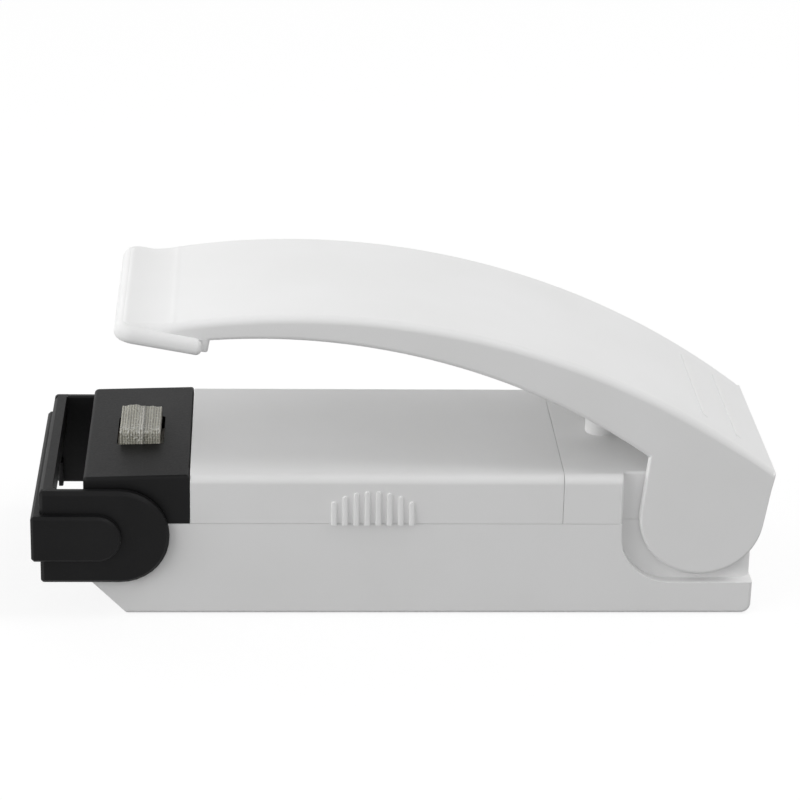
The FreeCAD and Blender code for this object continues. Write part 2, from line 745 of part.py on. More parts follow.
def make_lever():
    """Press lever: arched channel, two cheeks with knuckles, a lipped foot and a rib over the switch."""
    body = new_body("lever")
    lip_front = foot_middle - d.lip_front
    tip = pivot_x + (lip_front + d.lip_overhang) * tilt_cosine + sole_rise * tilt_sine
    tip_low = pivot_z + (sole_rise - (tip - pivot_x) * tilt_sine) / tilt_cosine + d.lip_thickness / 2
    foot_rear = pivot_x + (foot_middle + d.foot_back) * tilt_cosine + sole_rise * tilt_sine
    crease_x = heater_x + d.crease_back
    crease_z = top_at(crease_x)
    share = d.dip_radius / d.top_arc_radius
    dip_x = crease_x + (crease_x - top_apex_x) * share
    dip_z = crease_z + (crease_z - top_apex_z + d.top_arc_radius) * share
    dip_end = tip + d.tip_chamfer
    tip_top = dip_z - root(d.dip_radius * d.dip_radius - (dip_end - dip_x) * (dip_end - dip_x))
    front_touch = tangent_point(-d.cheek_reach, skirt_at(cheek_x) - pivot_z, 1)
    rear_touch = tangent_point(d.rear_overhang, top_at(heel_x) - pivot_z, -1)
    side = [
        (tip, tip_low),
        (foot_rear, skirt_at(foot_rear), -d.skirt_arc_radius),
        (cheek_x, skirt_at(cheek_x)),
        (*front_touch, d.knuckle_radius),
        rear_touch,
        (heel_x, top_at(heel_x), d.top_arc_radius),
        (crease_x, crease_z, -d.dip_radius),
        (dip_end, tip_top),
        (tip, tip_top - d.tip_chamfer),
    ]
    block(body, "side", "XZ_Plane", side, d.body_width)
    round_edges(body, "top_edges", d.lever_edge_radius, is_top_edge)
    lip = pressed_sketch(body, "lip")
    add_outline(lip, rectangle(lip_front, foot_middle + d.lip_back, sole_rise, sole_rise + d.lip_thickness))
    pad(lip, d.body_width + 2 * d.lip_overhang)
    lip_side = half_width + d.lip_overhang
    round_edges(body, "lip_corners", d.lip_corner_radius,
                lambda middle, along: near(abs(middle.y), lip_side) and abs(along.z) > 0.9
                and middle.x < heater_x.value)
    round_edges(body, "lip_rim", d.lip_edge_radius,
                lambda middle, along: abs(along.z) < 0.5 and on_lip_rim(middle))
    foot = pressed_sketch(body, "foot")
    foot_back = foot_middle + d.foot_back
    add_outline(foot, rectangle(foot_middle, foot_back, sole_rise, sole_rise + d.lip_thickness))
    pad(foot, d.body_width)
    hollow_lever(body, foot_rear)
    add_lever_ribs(body)


def is_top_edge(middle, along):
    """True for the two long edges of the lever's top, as far as the tip's chamfer."""
    radius = d.top_arc_radius.value
    reach = math.hypot(middle.x - top_apex_x.value, middle.z - top_apex_z.value + radius)
    on_top = reach > radius - d.plate_thickness.value / 4
    return on_top and near(abs(middle.y), half_width) and abs(along.x) > 0.85


def on_lip_rim(middle):
    """True for a point on the lip's outer wall: its sides, its front and the rounds between them."""
    across = (middle.x - pivot_x.value) * tilt_cosine.value - (middle.z - pivot_z.value) * tilt_sine.value
    radius = d.lip_corner_radius.value
    ahead = (foot_middle - d.lip_front).value + radius - across
    aside = abs(middle.y) - (half_width + d.lip_overhang).value + radius
    if ahead > 0 and aside > 0:
        return near(math.hypot(ahead, aside), radius)
    return near(max(ahead, aside), radius)


def hollow_lever(body, foot_rear):
    """Open channel under the lever's top, the room in the foot and the blind sockets of the hinge pin."""
    inside = d.body_width - 2 * d.cheek_thickness
    below = pivot_z - d.knuckle_radius - past
    under = d.top_arc_radius - d.plate_thickness
    end = heel_x + past
    channel = [
        (foot_rear, below),
        (end, below),
        (end, top_at(end, d.plate_thickness), under),
        (foot_rear, top_at(foot_rear, d.plate_thickness)),
    ]
    block(body, "channel", "XZ_Plane", channel, inside, cut=True)
    room = pressed_sketch(body, "foot_room")
    front = foot_middle - d.lip_front + d.lip_overhang + d.foot_wall
    back = foot_middle + d.foot_back - d.foot_wall
    add_outline(room, rectangle(front, back, sole_rise - past, sole_rise + d.holder_thickness))
    pocket(room, inside)
    bar(body, "sockets", "XZ_Plane", [(pivot_x, pivot_z)], d.pin_radius + d.running_fit,
        d.body_width - 2 * d.socket_floor, cut=True)


def add_lever_ribs(body):
    """Rib over the plunger, level half way through the stroke, cross ribs in the channel, ridges on top."""
    rise = d.rib_height / cosine(half_press)
    left = plunger_x - d.rib_length / 2
    right = plunger_x + d.rib_length / 2
    depth = d.plate_thickness / 2
    rib = [
        (left, pivot_z + rise + (pivot_x - left) * press_slope),
        (right, pivot_z + rise + (pivot_x - right) * press_slope),
        (right, top_at(right, depth), d.top_arc_radius - depth),
        (left, top_at(left, depth)),
    ]
    block(body, "switch_rib", "XZ_Plane", rib, d.rib_width)
    inside = d.body_width - 2 * d.cheek_thickness
    low = d.plate_thickness + d.cross_rib_depth
    for index in range(CROSS_RIB_COUNT):
        place = top_apex_x + (index + 0.5) * d.cross_rib_pitch
        left = place - d.cross_rib_thickness / 2
        right = place + d.cross_rib_thickness / 2
        rib = [
            (left, top_at(left, low)),
            (right, top_at(right, low)),
            (right, top_at(right, depth)),
            (left, top_at(left, depth)),
        ]
        block(body, f"cross_rib_{index + 1}", "XZ_Plane", rib, inside + d.cheek_thickness)
    for index, reach in enumerate((d.ridge_front, d.ridge_rear)):
        place = pivot_x + reach
        left = place - d.ridge_width / 2
        right = place + d.ridge_width / 2
        ridge = [
            (left, top_at(left, depth)),
            (right, top_at(right, depth)),
            (right, top_at(right)),
            (place, top_at(place, -d.ridge_height)),
            (left, top_at(left)),
        ]
        block(body, f"ridge_{index + 1}", "XZ_Plane", ridge, d.ridge_length)


def make_pad_holder():
    """Carrier plate in the lever's foot, with a seat for the pad."""
    body = new_body("pad_holder")
    front = foot_middle - d.lip_front + d.lip_overhang + d.foot_wall + d.holder_clearance
    back = foot_middle + d.foot_back - d.foot_wall - d.holder_clearance
    width = d.body_width - 2 * d.cheek_thickness - 2 * d.holder_clearance
    plate = pressed_sketch(body, "plate")
    add_outline(plate, rectangle(front, back, sole_rise, sole_rise + d.holder_thickness))
    pad(plate, width)
    seat = pressed_sketch(body, "seat")
    half = d.pad_length / 2
    add_outline(seat, rectangle(foot_middle - half, foot_middle + half,
                                sole_rise - past, sole_rise + d.pad_seat))
    pocket(seat, d.pad_width)


def make_press_pad():
    """Silicone pad that lies flat on the heater when the lever is down."""
    body = new_body("press_pad")
    shape = pressed_sketch(body, "shape")
    half = d.pad_length / 2
    add_outline(shape, rectangle(foot_middle - half, foot_middle + half,
                                 sole_rise - d.pad_exposed, sole_rise + d.pad_seat))
    pad(shape, d.pad_width)


def make_guard():
    """Bail round the head: two arms on stub pivots, a thin front wall and a raised hollow band."""
    body = new_body("guard")
    front = guard_x - d.guard_reach
    low = d.guard_height - d.guard_radius
    high = d.guard_height + d.guard_radius
    inside = d.body_width + 2 * d.arm_clearance
    outside = inside + 2 * d.arm_thickness
    arm = [
        (front, low),
        (guard_x, low, d.guard_radius),
        (guard_x, high),
        (front, high),
    ]
    block(body, "arms", "XZ_Plane", arm, outside)
    round_edges(body, "corners", d.guard_corner_radius,
                lambda middle, along: near(middle.x, front) and (abs(along.z) > 0.9))
    band_half = d.band_height / 2
    band_end = guard_x - d.band_reach
    band = [
        (front - d.band_depth, d.guard_height - band_half),
        (band_end, d.guard_height - band_half, band_half),
        (band_end, d.guard_height + band_half),
        (front - d.band_depth, d.guard_height + band_half),
    ]
    block(body, "band", "XZ_Plane", band, outside + 2 * d.band_depth)
    round_edges(body, "band_corners", d.guard_corner_radius,
                lambda middle, along: near(middle.x, front - d.band_depth) and abs(along.z) > 0.9)
    beyond = guard_x + d.guard_radius + past
    room = rectangle(front + d.guard_wall, beyond, low - past, high + past)
    block(body, "room", "XZ_Plane", room, inside, cut=True)
    hollow_half = band_half - d.guard_wall
    hollow = rectangle(front - d.band_depth + d.guard_wall, guard_x,
                       d.guard_height - hollow_half, d.guard_height + hollow_half)
    block(body, "band_room", "XZ_Plane", hollow, inside, cut=True)
    notch = rectangle(front - d.band_depth - past, guard_x, low - past, d.guard_height - band_half)
    block(body, "notch", "XZ_Plane", notch, inside - 2 * d.notch_margin, cut=True)
    bar(body, "pivots", "XZ_Plane", [(guard_x, d.guard_height)], d.guard_pin_radius, inside + d.arm_thickness)
    stub = 2 * (half_width - d.wall)
    bar(body, "pivot_gap", "XZ_Plane", [(guard_x, d.guard_height)], d.guard_pin_radius + d.running_fit,
        stub, cut=True)


def make_heater():
    """Insulating block, resistance strip over it and the woven patch that covers both."""
    body = new_body("heater_block")
    half = d.patch_length / 2 - d.block_side_gap
    low = strip_top + d.pedestal_gap
    shoulder = [
        (heater_x - half, low),
        (heater_x + half, low),
        (heater_x + half, deck_under - d.shoulder_height),
        (heater_x + half + d.shoulder_reach, deck_under - d.shoulder_height),
        (heater_x + half + d.shoulder_reach, deck_under),
        (heater_x + half, deck_under),
        (heater_x + half, block_top),
        (heater_x - half, block_top),
        (heater_x - half, deck_under),
        (heater_x - half - d.shoulder_reach, deck_under),
        (heater_x - half - d.shoulder_reach, deck_under - d.shoulder_height),
        (heater_x - half, deck_under - d.shoulder_height),
    ]
    block(body, "side", "XZ_Plane", shoulder, 2 * block_half)
    ribbon = new_body("heating_ribbon")
    leg = block_half + d.ribbon_thickness
    foot = leg + d.ribbon_foot
    foot_top = strip_top + d.ribbon_thickness
    hat = [
        (-foot, strip_top),
        (-block_half, strip_top),
        (-block_half, block_top),
        (block_half, block_top),
        (block_half, strip_top),
        (foot, strip_top),
        (foot, foot_top),
        (leg, foot_top),
        (leg, ribbon_top),
        (-leg, ribbon_top),
        (-leg, foot_top),
        (-foot, foot_top),
    ]
    block(ribbon, "hat", "YZ_Plane", hat, d.ribbon_width, offset=heater_x)
    cloth = new_body("cloth_cover")
    outer = d.patch_width / 2
    hem = deck_under
    drape = [
        (-outer, hem),
        (-leg, hem),
        (-leg, ribbon_top),
        (leg, ribbon_top),
        (leg, hem),
        (outer, hem),
        (outer, patch_top),
        (-outer, patch_top),
    ]
    block(cloth, "drape", "YZ_Plane", drape, d.patch_length, offset=heater_x)


def make_contacts():
    """Bent strips: a plate at each end of each cell, with a tab to the heater or under the switch ring."""
    low = strip_top - d.strip_drop
    thick = d.strip_thickness
    front_face = front_bulkhead_face
    front_end = heater_x - d.ribbon_width / 2
    rear_end = plunger_x + d.ring_bore_radius
    front_strip = [
        (front_face, low),
        (front_face + thick, low),
        (front_face + thick, strip_top),
        (front_end, strip_top),
        (front_end, d.strip_height),
        (front_face, d.strip_height),
    ]
    rear_strip = [
        (rear_bulkhead_face - thick, low),
        (rear_bulkhead_face, low),
        (rear_bulkhead_face, d.strip_height),
        (rear_end, d.strip_height),
        (rear_end, strip_top),
        (rear_bulkhead_face - thick, strip_top),
    ]
    for name, strip in (("front_contact", front_strip), ("rear_contact", rear_strip)):
        for side_name, side in (("left", 1), ("right", -1)):
            body = new_body(f"{name}_{side_name}")
            block(body, "strip", "XZ_Plane", strip, d.strip_width, offset=side * d.strip_offset)


def make_cells():
    """Two cells side by side, the left one with its nub to the front and the right one to the rear."""
    full = d.cell_length + d.nub_length
    nub_face = {
        "cell_left": front_bulkhead_face + d.strip_thickness,
        "cell_right": rear_bulkhead_face - d.strip_thickness,
    }
    for name, side, turn in (("cell_left", -1, 0), ("cell_right", 1, 180)):
        body = new_body(name)
        can = [
            (0, 0),
            (full, 0),
            (full, d.cell_radius - d.cell_bevel),
            (full - d.cell_bevel, d.cell_radius),
            (d.nub_length + d.cell_bevel, d.cell_radius),
            (d.nub_length, d.cell_radius - d.cell_bevel),
            (d.nub_length, d.nub_radius),
            (0, d.nub_radius),
        ]
        revolve(body, "can", "XY_Plane", can, "H_Axis")
        body.Placement = FreeCAD.Placement(Vector(0, 0, 0), FreeCAD.Rotation(UP, turn))
        bind(body, "Placement.Base.x", nub_face[name])
        bind(body, "Placement.Base.y", side * d.cell_spacing / 2)
        bind(body, "Placement.Base.z", d.cell_height)


def make_plunger():
    """Switch plunger with a domed head, and the ring under its flange that bridges the rear contacts."""
    rib_over_plunger = pivot_z + d.rib_height / cosine(half_press) + d.plunger_reach * press_slope
    crown = rib_over_plunger - d.dome_radius * (1 / cosine(half_press) - 1) - d.plunger_touch_gap
    shoulder = crown - d.dome_radius + root(d.dome_radius * d.dome_radius - d.stem_radius * d.stem_radius)
    body = new_body("switch_plunger")
    outline = [
        (0, flange_low - d.spigot_length),
        (d.spigot_radius, flange_low - d.spigot_length),
        (d.spigot_radius, flange_low),
        (d.flange_radius, flange_low),
        (d.flange_radius, flange_top),
        (d.stem_radius, flange_top),
        (d.stem_radius, shoulder, d.dome_radius),
        (0, crown),
    ]
    revolve(body, "stem", "XZ_Plane", outline, "V_Axis")
    bind(body, "Placement.Base.x", plunger_x)
    ring = new_body("contact_ring")
    section = rectangle(d.ring_bore_radius, d.flange_radius, flange_low - d.ring_thickness, flange_low)
    revolve(ring, "ring", "XZ_Plane", section, "V_Axis")
    bind(ring, "Placement.Base.x", plunger_x)


def make_pin():
    """Steel pin through the hinge core, with its ends in the sockets of the cheeks."""
    pin = doc.addObject("Part::Cylinder", "hinge_pin")
    pin.Label = "hinge_pin"
    length = d.body_width - 2 * d.socket_floor - 2 * d.pin_end_gap
    pin.Placement = FreeCAD.Placement(Vector(0, 0, 0), FreeCAD.Rotation(Vector(1, 0, 0), 90))
    bind(pin, "Radius", d.pin_radius)
    bind(pin, "Height", length)
    bind(pin, "Placement.Base.x", pivot_x)
    bind(pin, "Placement.Base.y", length / 2)
    bind(pin, "Placement.Base.z", pivot_z)
    nodes.append(pin)


def make_screws():
    """Four equal case screws, driven from the underside, each with a straight slot in its head."""
    screw = doc.addObject("Part::Feature", "case_screws")
    screw.Label = "case_screws"
    head_radius = d.screw_head_radius.value
    head_height = d.screw_head_height.value
    slot_width = d.screw_slot_width.value
    solids = []
    for across, along in SCREW_PLACES:
        foot = Vector(across.value, along.value, d.screw_sink.value - head_height)
        head = Part.makeCylinder(head_radius, head_height, foot)
        shank = Part.makeCylinder(d.screw_radius.value, d.screw_length.value, foot + UP * head_height)
        slot = Part.makeBox(2 * head_radius, slot_width, head_height / 2)
        slot.translate(foot - Vector(head_radius, slot_width / 2, 0))
        solids.append(head.fuse(shank).cut(slot))
    screw.Shape = Part.makeCompound(solids)
    nodes.append(screw)


def bulge(start, tangent, finish):
    """Middle point of the arc that leaves the start along the tangent and ends at the finish."""
    chord = finish - start
    half = chord.Length / 2
    chord.normalize()
    sideways = tangent - chord * tangent.dot(chord)
    angle = math.atan2(sideways.Length, tangent.dot(chord))
    return (start + finish) * 0.5 + sideways.normalize() * half * math.tan(angle / 2)


def coil_path(radius, length, wire, turns):
    """Centre line of a spring about +Z that stands on the ground plane: biarcs of a quarter turn between
    points of a helix, with a straight end of one wire diameter at the start and at the finish."""
    steps = 4 * turns
    rise = (length - wire) / steps
    level = Vector(0, 1, 0)
    points = []
    tangents = []
    for step in range(steps + 1):
        angle = step * math.pi / 2
        points.append(Vector(radius * math.cos(angle), radius * math.sin(angle), wire / 2 + rise * step))
        slope = Vector(-radius * math.sin(angle), radius * math.cos(angle), rise * 2 / math.pi)
        tangents.append(slope.normalize() if 0 < step < steps else level)
    edges = [Part.LineSegment(points[0] - level * wire, points[0]).toShape()]
    for begin, finish, out, into in zip(points, points[1:], tangents, tangents[1:]):
        span = finish - begin
        along = span.dot(out + into)
        bend = 2 * (1 - out.dot(into))
        reach = (math.sqrt(along ** 2 + bend * span.dot(span)) - along) / bend
        middle = (begin + finish + (out - into) * reach) * 0.5
        edges.append(Part.Arc(begin, bulge(begin, out, middle), middle).toShape())
        edges.append(Part.Arc(middle, bulge(finish, into * -1, middle), finish).toShape())
    edges.append(Part.LineSegment(points[-1], points[-1] + level * wire).toShape())
    return Part.Wire(edges)


def coil(radius, length, wire, turns):
    """Spring of round wire, as one unbroken tube. Prints the smallest gap that the wire keeps to itself."""
    path = coil_path(radius, length, wire, turns)
    points = path.discretize(Distance=radius / 6)
    skip = int(len(points) / turns / 2)
    gaps = [one.distanceToPoint(other) for index, one in enumerate(points) for other in points[index + skip:]]
    start = path.Edges[0].valueAt(path.Edges[0].FirstParameter)
    section = Part.Wire(Part.makeCircle(wire / 2, start, Vector(0, 1, 0)))
    tube = path.makePipeShell([section], True, False)
    swept = path.Length * math.pi * wire ** 2 / 4
    print(f"spring of {turns} turns: gap to itself {min(gaps) - wire:.2f} mm")
    print(f"spring of {turns} turns: volume {tube.Volume / swept:.4f} of wire section times path")
    return tube


def make_springs():
    """Return spring under the plunger, and one spring at the flat end of each cell."""
    low = d.wall.value + d.spring_end_gap.value
    high = flange_low.value - d.spring_end_gap.value
    spring = doc.addObject("Part::Feature", "return_spring")
    spring.Label = "return_spring"
    spring.Shape = coil(d.return_radius.value, high - low, d.return_wire.value, RETURN_TURNS)
    spring.Placement = FreeCAD.Placement(Vector(plunger_x.value, 0, low), FreeCAD.Rotation())
    nodes.append(spring)
    length = d.spring_room.value - 2 * d.spring_end_gap.value
    gap = d.strip_thickness.value + d.spring_end_gap.value
    side = d.cell_spacing.value / 2
    places = {
        "front_spring": (Vector(front_bulkhead_face.value + gap, side, d.cell_height.value), 90),
        "rear_spring": (Vector(rear_bulkhead_face.value - gap, -side, d.cell_height.value), -90),
    }
    for name, (place, turn) in places.items():
        spring = doc.addObject("Part::Feature", name)
        spring.Label = name
        spring.Shape = coil(d.contact_radius.value, length, d.contact_wire.value, CONTACT_TURNS)
        spring.Placement = FreeCAD.Placement(place, FreeCAD.Rotation(Vector(0, 1, 0), turn))
        nodes.append(spring)


make_base()
make_rear_cover()
make_head()
make_battery_cover()
make_lever()
make_pad_holder()
make_press_pad()
make_guard()
make_heater()
make_contacts()
make_cells()
make_plunger()
make_pin()
make_screws()
make_springs()

doc.recompute()
for item in doc.Objects:
    if "Invalid" in item.State or "Error" in item.State:
        raise RuntimeError(f"{item.Name} did not build: {item.State}")
for node in nodes:
    if node.Shape.isNull() or not node.Shape.isValid():
        raise RuntimeError(f"{node.Label} has no valid shape")
os.makedirs("parts", exist_ok=True)
for node in nodes:
    node.Shape.exportStep(f"parts/{node.Label}.step")
    print(f"{node.Label}: {len(node.Shape.Solids)} solid, {node.Shape.Volume:.1f} mm3")
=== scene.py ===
import math

import bmesh
import bpy
import numpy as np
from mathutils import Matrix, Vector


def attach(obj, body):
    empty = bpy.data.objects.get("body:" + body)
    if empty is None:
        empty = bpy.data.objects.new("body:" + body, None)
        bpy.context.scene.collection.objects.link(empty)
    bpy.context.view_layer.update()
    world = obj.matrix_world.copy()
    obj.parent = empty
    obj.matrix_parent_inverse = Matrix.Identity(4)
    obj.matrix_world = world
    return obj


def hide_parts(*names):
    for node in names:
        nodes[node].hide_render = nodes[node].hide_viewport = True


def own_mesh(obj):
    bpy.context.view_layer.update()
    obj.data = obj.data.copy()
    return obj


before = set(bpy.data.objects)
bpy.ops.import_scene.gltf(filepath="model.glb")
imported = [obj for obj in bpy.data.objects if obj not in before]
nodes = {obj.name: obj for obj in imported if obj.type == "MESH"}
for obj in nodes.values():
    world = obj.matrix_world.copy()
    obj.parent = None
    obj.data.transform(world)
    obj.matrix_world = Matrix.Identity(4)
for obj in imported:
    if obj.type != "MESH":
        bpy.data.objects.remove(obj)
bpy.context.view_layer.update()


# Lower housing: the tray that everything else is fixed in, with its cell seats, bulkheads and screw bosses.
# One moulding in white ABS; the mould gives it a fine satin skin and slow, faint flow marks.


class Tone:
    """A value, colour or direction on a surface: one output socket of a material's nodes.

    Sums, differences and products of tones add Math nodes, and node adds any other node.
    """

    def __init__(self, tree, socket=None):
        self.tree = tree
        self.socket = socket

    def node(self, kind, settings=None, sockets=None, output=0):
        """Add a node, with its settings first and then the values or links of its sockets."""
        made = self.tree.nodes.new(kind)
        for name, value in (settings or {}).items():
            setattr(made, name, value)
        for name, value in (sockets or {}).items():
            if isinstance(value, Tone):
                self.tree.links.new(value.socket, made.inputs[name])
            else:
                made.inputs[name].default_value = value
        return Tone(self.tree, made.outputs[output])

    def maths(self, operation, first, second=0.0):
        return self.node("ShaderNodeMath", {"operation": operation}, {0: first, 1: second})

    def __add__(self, other):
        return self.maths("ADD", self, other)

    __radd__ = __add__

    def __sub__(self, other):
        return self.maths("SUBTRACT", self, other)

    def __rsub__(self, other):
        return self.maths("SUBTRACT", other, self)

    def __mul__(self, other):
        return self.maths("MULTIPLY", self, other)

    __rmul__ = __mul__

    def into(self, shader, socket):
        self.tree.links.new(self.socket, shader.inputs[socket])


def finish(name, **constants):
    """New material: one Principled shader with constants on its own sockets, and the place on the surface."""
    material = bpy.data.materials.new(name)
    material.use_nodes = True
    tree = material.node_tree
    shader = tree.nodes["Principled BSDF"]
    for socket, value in constants.items():
        shader.inputs[socket.replace("_", " ")].default_value = value
    place = Tone(tree).node("ShaderNodeTexCoord", output="Object")
    return material, shader, place


def cloud(place, scale, detail=2.0):
    """Soft noise from 0 to 1 with scale patches to the metre."""
    return place.node("ShaderNodeTexNoise", None, {"Vector": place, "Scale": scale, "Detail": detail})


def spread(value, low, high):
    """A value's range from low to high, stretched to run from 0 to 1 and cut off outside."""
    return value.node("ShaderNodeMapRange", None, {"Value": value, "From Min": low, "From Max": high})


def shade(mask, dark, light):
    """Colour that goes from dark to light as the mask goes from 0 to 1."""
    return mask.node("ShaderNodeMix", {"data_type": "RGBA"}, {0: mask, 6: (*dark, 1), 7: (*light, 1)}, 2)


def relief(height, strength, distance):
    """Surface direction from a height map; distance is its depth in metres."""
    return height.node("ShaderNodeBump", None, {"Strength": strength, "Distance": distance, "Height": height})


def moulded_white():
    material, shader, place = finish("white_abs", Specular_IOR_Level=0.32)
    flow = cloud(place, 55.0)
    grain = cloud(place, 2600.0, 3.0)
    shade(spread(flow, 0.3, 0.7), (0.835, 0.835, 0.832), (0.86, 0.86, 0.86)).into(shader, "Base Color")
    (0.44 + 0.14 * grain).into(shader, "Roughness")
    relief(grain + 3.0 * flow, 0.25, 0.00004).into(shader, "Normal")
    return material


def dress(material, *names):
    """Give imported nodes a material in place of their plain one."""
    for name in names:
        mesh = nodes[name].data
        mesh.materials.clear()
        mesh.materials.append(material)


white_abs = moulded_white()
dress(white_abs, "base_case")


# Contact strips: sprung strips in the bulkheads that carry the current from the cells to the heating strip
# and to the switch. Pressed from rolled brass with a thin bright plating.


def streaks(place, scale):
    """Soft noise drawn out into streaks, with its patches to the metre given for each axis."""
    drawn = place.node("ShaderNodeMapping", None, {"Vector": place, "Scale": scale})
    return cloud(drawn, 1.0, 3.0)


def pressed_brass():
    material, shader, place = finish("contact_brass", Metallic=1.0)
    streak = streaks(place, (120, 3500, 3500))
    stain = spread(cloud(place, 260.0, 4.0), 0.45, 0.75)
    shade(stain, (0.78, 0.68, 0.46), (0.62, 0.50, 0.30)).into(shader, "Base Color")
    (0.22 + 0.16 * streak + 0.12 * stain).into(shader, "Roughness")
    relief(streak, 0.2, 0.00002).into(shader, "Normal")
    return material


dress(pressed_brass(), "front_contact_left", "front_contact_right", "rear_contact_left", "rear_contact_right",
      "contact_ring")


# Cell springs, hinge pin and screws: drawn steel wire and rod with a thin zinc coat. The springs press on the
# cells' flat ends, the pin joins the lever's cheeks and the screws hold the covers from below.


def drawn_zinc():
    material, shader, place = finish("zinc_steel", Metallic=1.0)
    draw = cloud(place, 3200.0, 3.0)
    bloom = spread(cloud(place, 380.0, 4.0), 0.4, 0.7)
    shade(bloom, (0.58, 0.58, 0.59), (0.47, 0.48, 0.49)).into(shader, "Base Color")
    (0.24 + 0.14 * draw + 0.14 * bloom).into(shader, "Roughness")
    relief(draw, 0.2, 0.00002).into(shader, "Normal")
    return material


zinc_steel = drawn_zinc()
dress(zinc_steel, "front_spring", "rear_spring", "hinge_pin", "case_screws")


# Cells: two AA cells that lie head to tail. A drawn steel can in a shrunk plastic sleeve, left plain, with a
# lighter band at one end.


def cell_sleeve():
    material, shader, place = finish("cell_sleeve", Coat_Weight=0.4)
    along = place.node("ShaderNodeSeparateXYZ", None, {0: place})
    scuff = cloud(place, 900.0, 4.0)
    band = spread(along, 0.004, 0.0042)
    shade(band, (0.035, 0.036, 0.04), (0.42, 0.30, 0.16)).into(shader, "Base Color")
    (0.25 + 0.2 * scuff).into(shader, "Roughness")
    relief(scuff, 0.15, 0.00003).into(shader, "Normal")
    return material


dress(cell_sleeve(), "cell_left", "cell_right")


# Heater: an insulating block on its pedestal with a flat resistance strip bent over it. The block is pressed
# from mica-filled stone, and the strip is rolled alloy that has gone straw-coloured where it gets hot.


def pressed_insulator():
    material, shader, place = finish("pressed_insulator")
    fleck = spread(cloud(place, 2200.0, 4.0), 0.5, 0.7)
    shade(fleck, (0.62, 0.60, 0.54), (0.40, 0.37, 0.32)).into(shader, "Base Color")
    (0.75 - 0.25 * fleck).into(shader, "Roughness")
    relief(fleck, 0.3, 0.00005).into(shader, "Normal")
    return material


def resistance_alloy():
    material, shader, place = finish("resistance_alloy", Metallic=1.0)
    streak = streaks(place, (4000, 150, 150))
    heat = spread(cloud(place, 300.0), 0.4, 0.65)
    shade(heat, (0.52, 0.50, 0.47), (0.50, 0.40, 0.26)).into(shader, "Base Color")
    (0.28 + 0.2 * streak).into(shader, "Roughness")
    relief(streak, 0.25, 0.00002).into(shader, "Normal")
    return material


dress(pressed_insulator(), "heater_block")
dress(resistance_alloy(), "heating_ribbon")


# Hot patch: a strip of resin-coated glass cloth, folded double so that its edges lap over each other on top,
# and laid over the heating strip. Its two ends hang down into the window of the head.
MM = 0.001
THREAD_PITCH = 0.42


def glass_cloth():
    material, shader, place = finish("glass_cloth", Coat_Roughness=0.2)
    thread = place.node("ShaderNodeUVMap", {"uv_map": "threads"})
    split = thread.node("ShaderNodeSeparateXYZ", None, {0: thread})
    warp = split
    weft = Tone(split.tree, split.socket.node.outputs[1])
    ribs = split.maths("ABSOLUTE", split.maths("SINE", warp * math.pi))
    picks = split.maths("ABSOLUTE", split.maths("SINE", weft * math.pi))
    weave = ribs + 0.4 * picks + 0.5 * cloud(place, 1500.0, 3.0)
    lap = spread(split.maths("ABSOLUTE", warp - 0.5), 3.0, 0.0)
    fold = spread(split.maths("ABSOLUTE", weft - 8.4), 4.0, 0.0)
    drawn = thread.node("ShaderNodeMapping", None, {"Vector": thread, "Scale": (1.0, 0.6, 1.0)})
    speck = cloud(drawn, 1.6)
    glint = spread(speck + 0.1 * lap + 0.1 * fold, 0.56, 0.68)
    yarn = shade(spread(weave, 0.3, 1.6), (0.125, 0.12, 0.10), (0.465, 0.452, 0.372))
    # Where the glint mask is high, the base colour is lightened towards near-white. These are painted glints,
    # gathered along the fold and the lap. The same mask also makes the coat and roughness glossier there.
    painted_glint = {0: 0.75 * glint, 6: yarn, 7: (0.78, 0.775, 0.72, 1)}
    yarn.node("ShaderNodeMix", {"data_type": "RGBA"}, painted_glint, 2).into(shader, "Base Color")
    (0.5 - 0.3 * glint).into(shader, "Roughness")
    (0.1 + 0.7 * glint).into(shader, "Coat Weight")
    relief(weave + 0.9 * glint, 0.7, 0.00012).into(shader, "Normal")
    return material


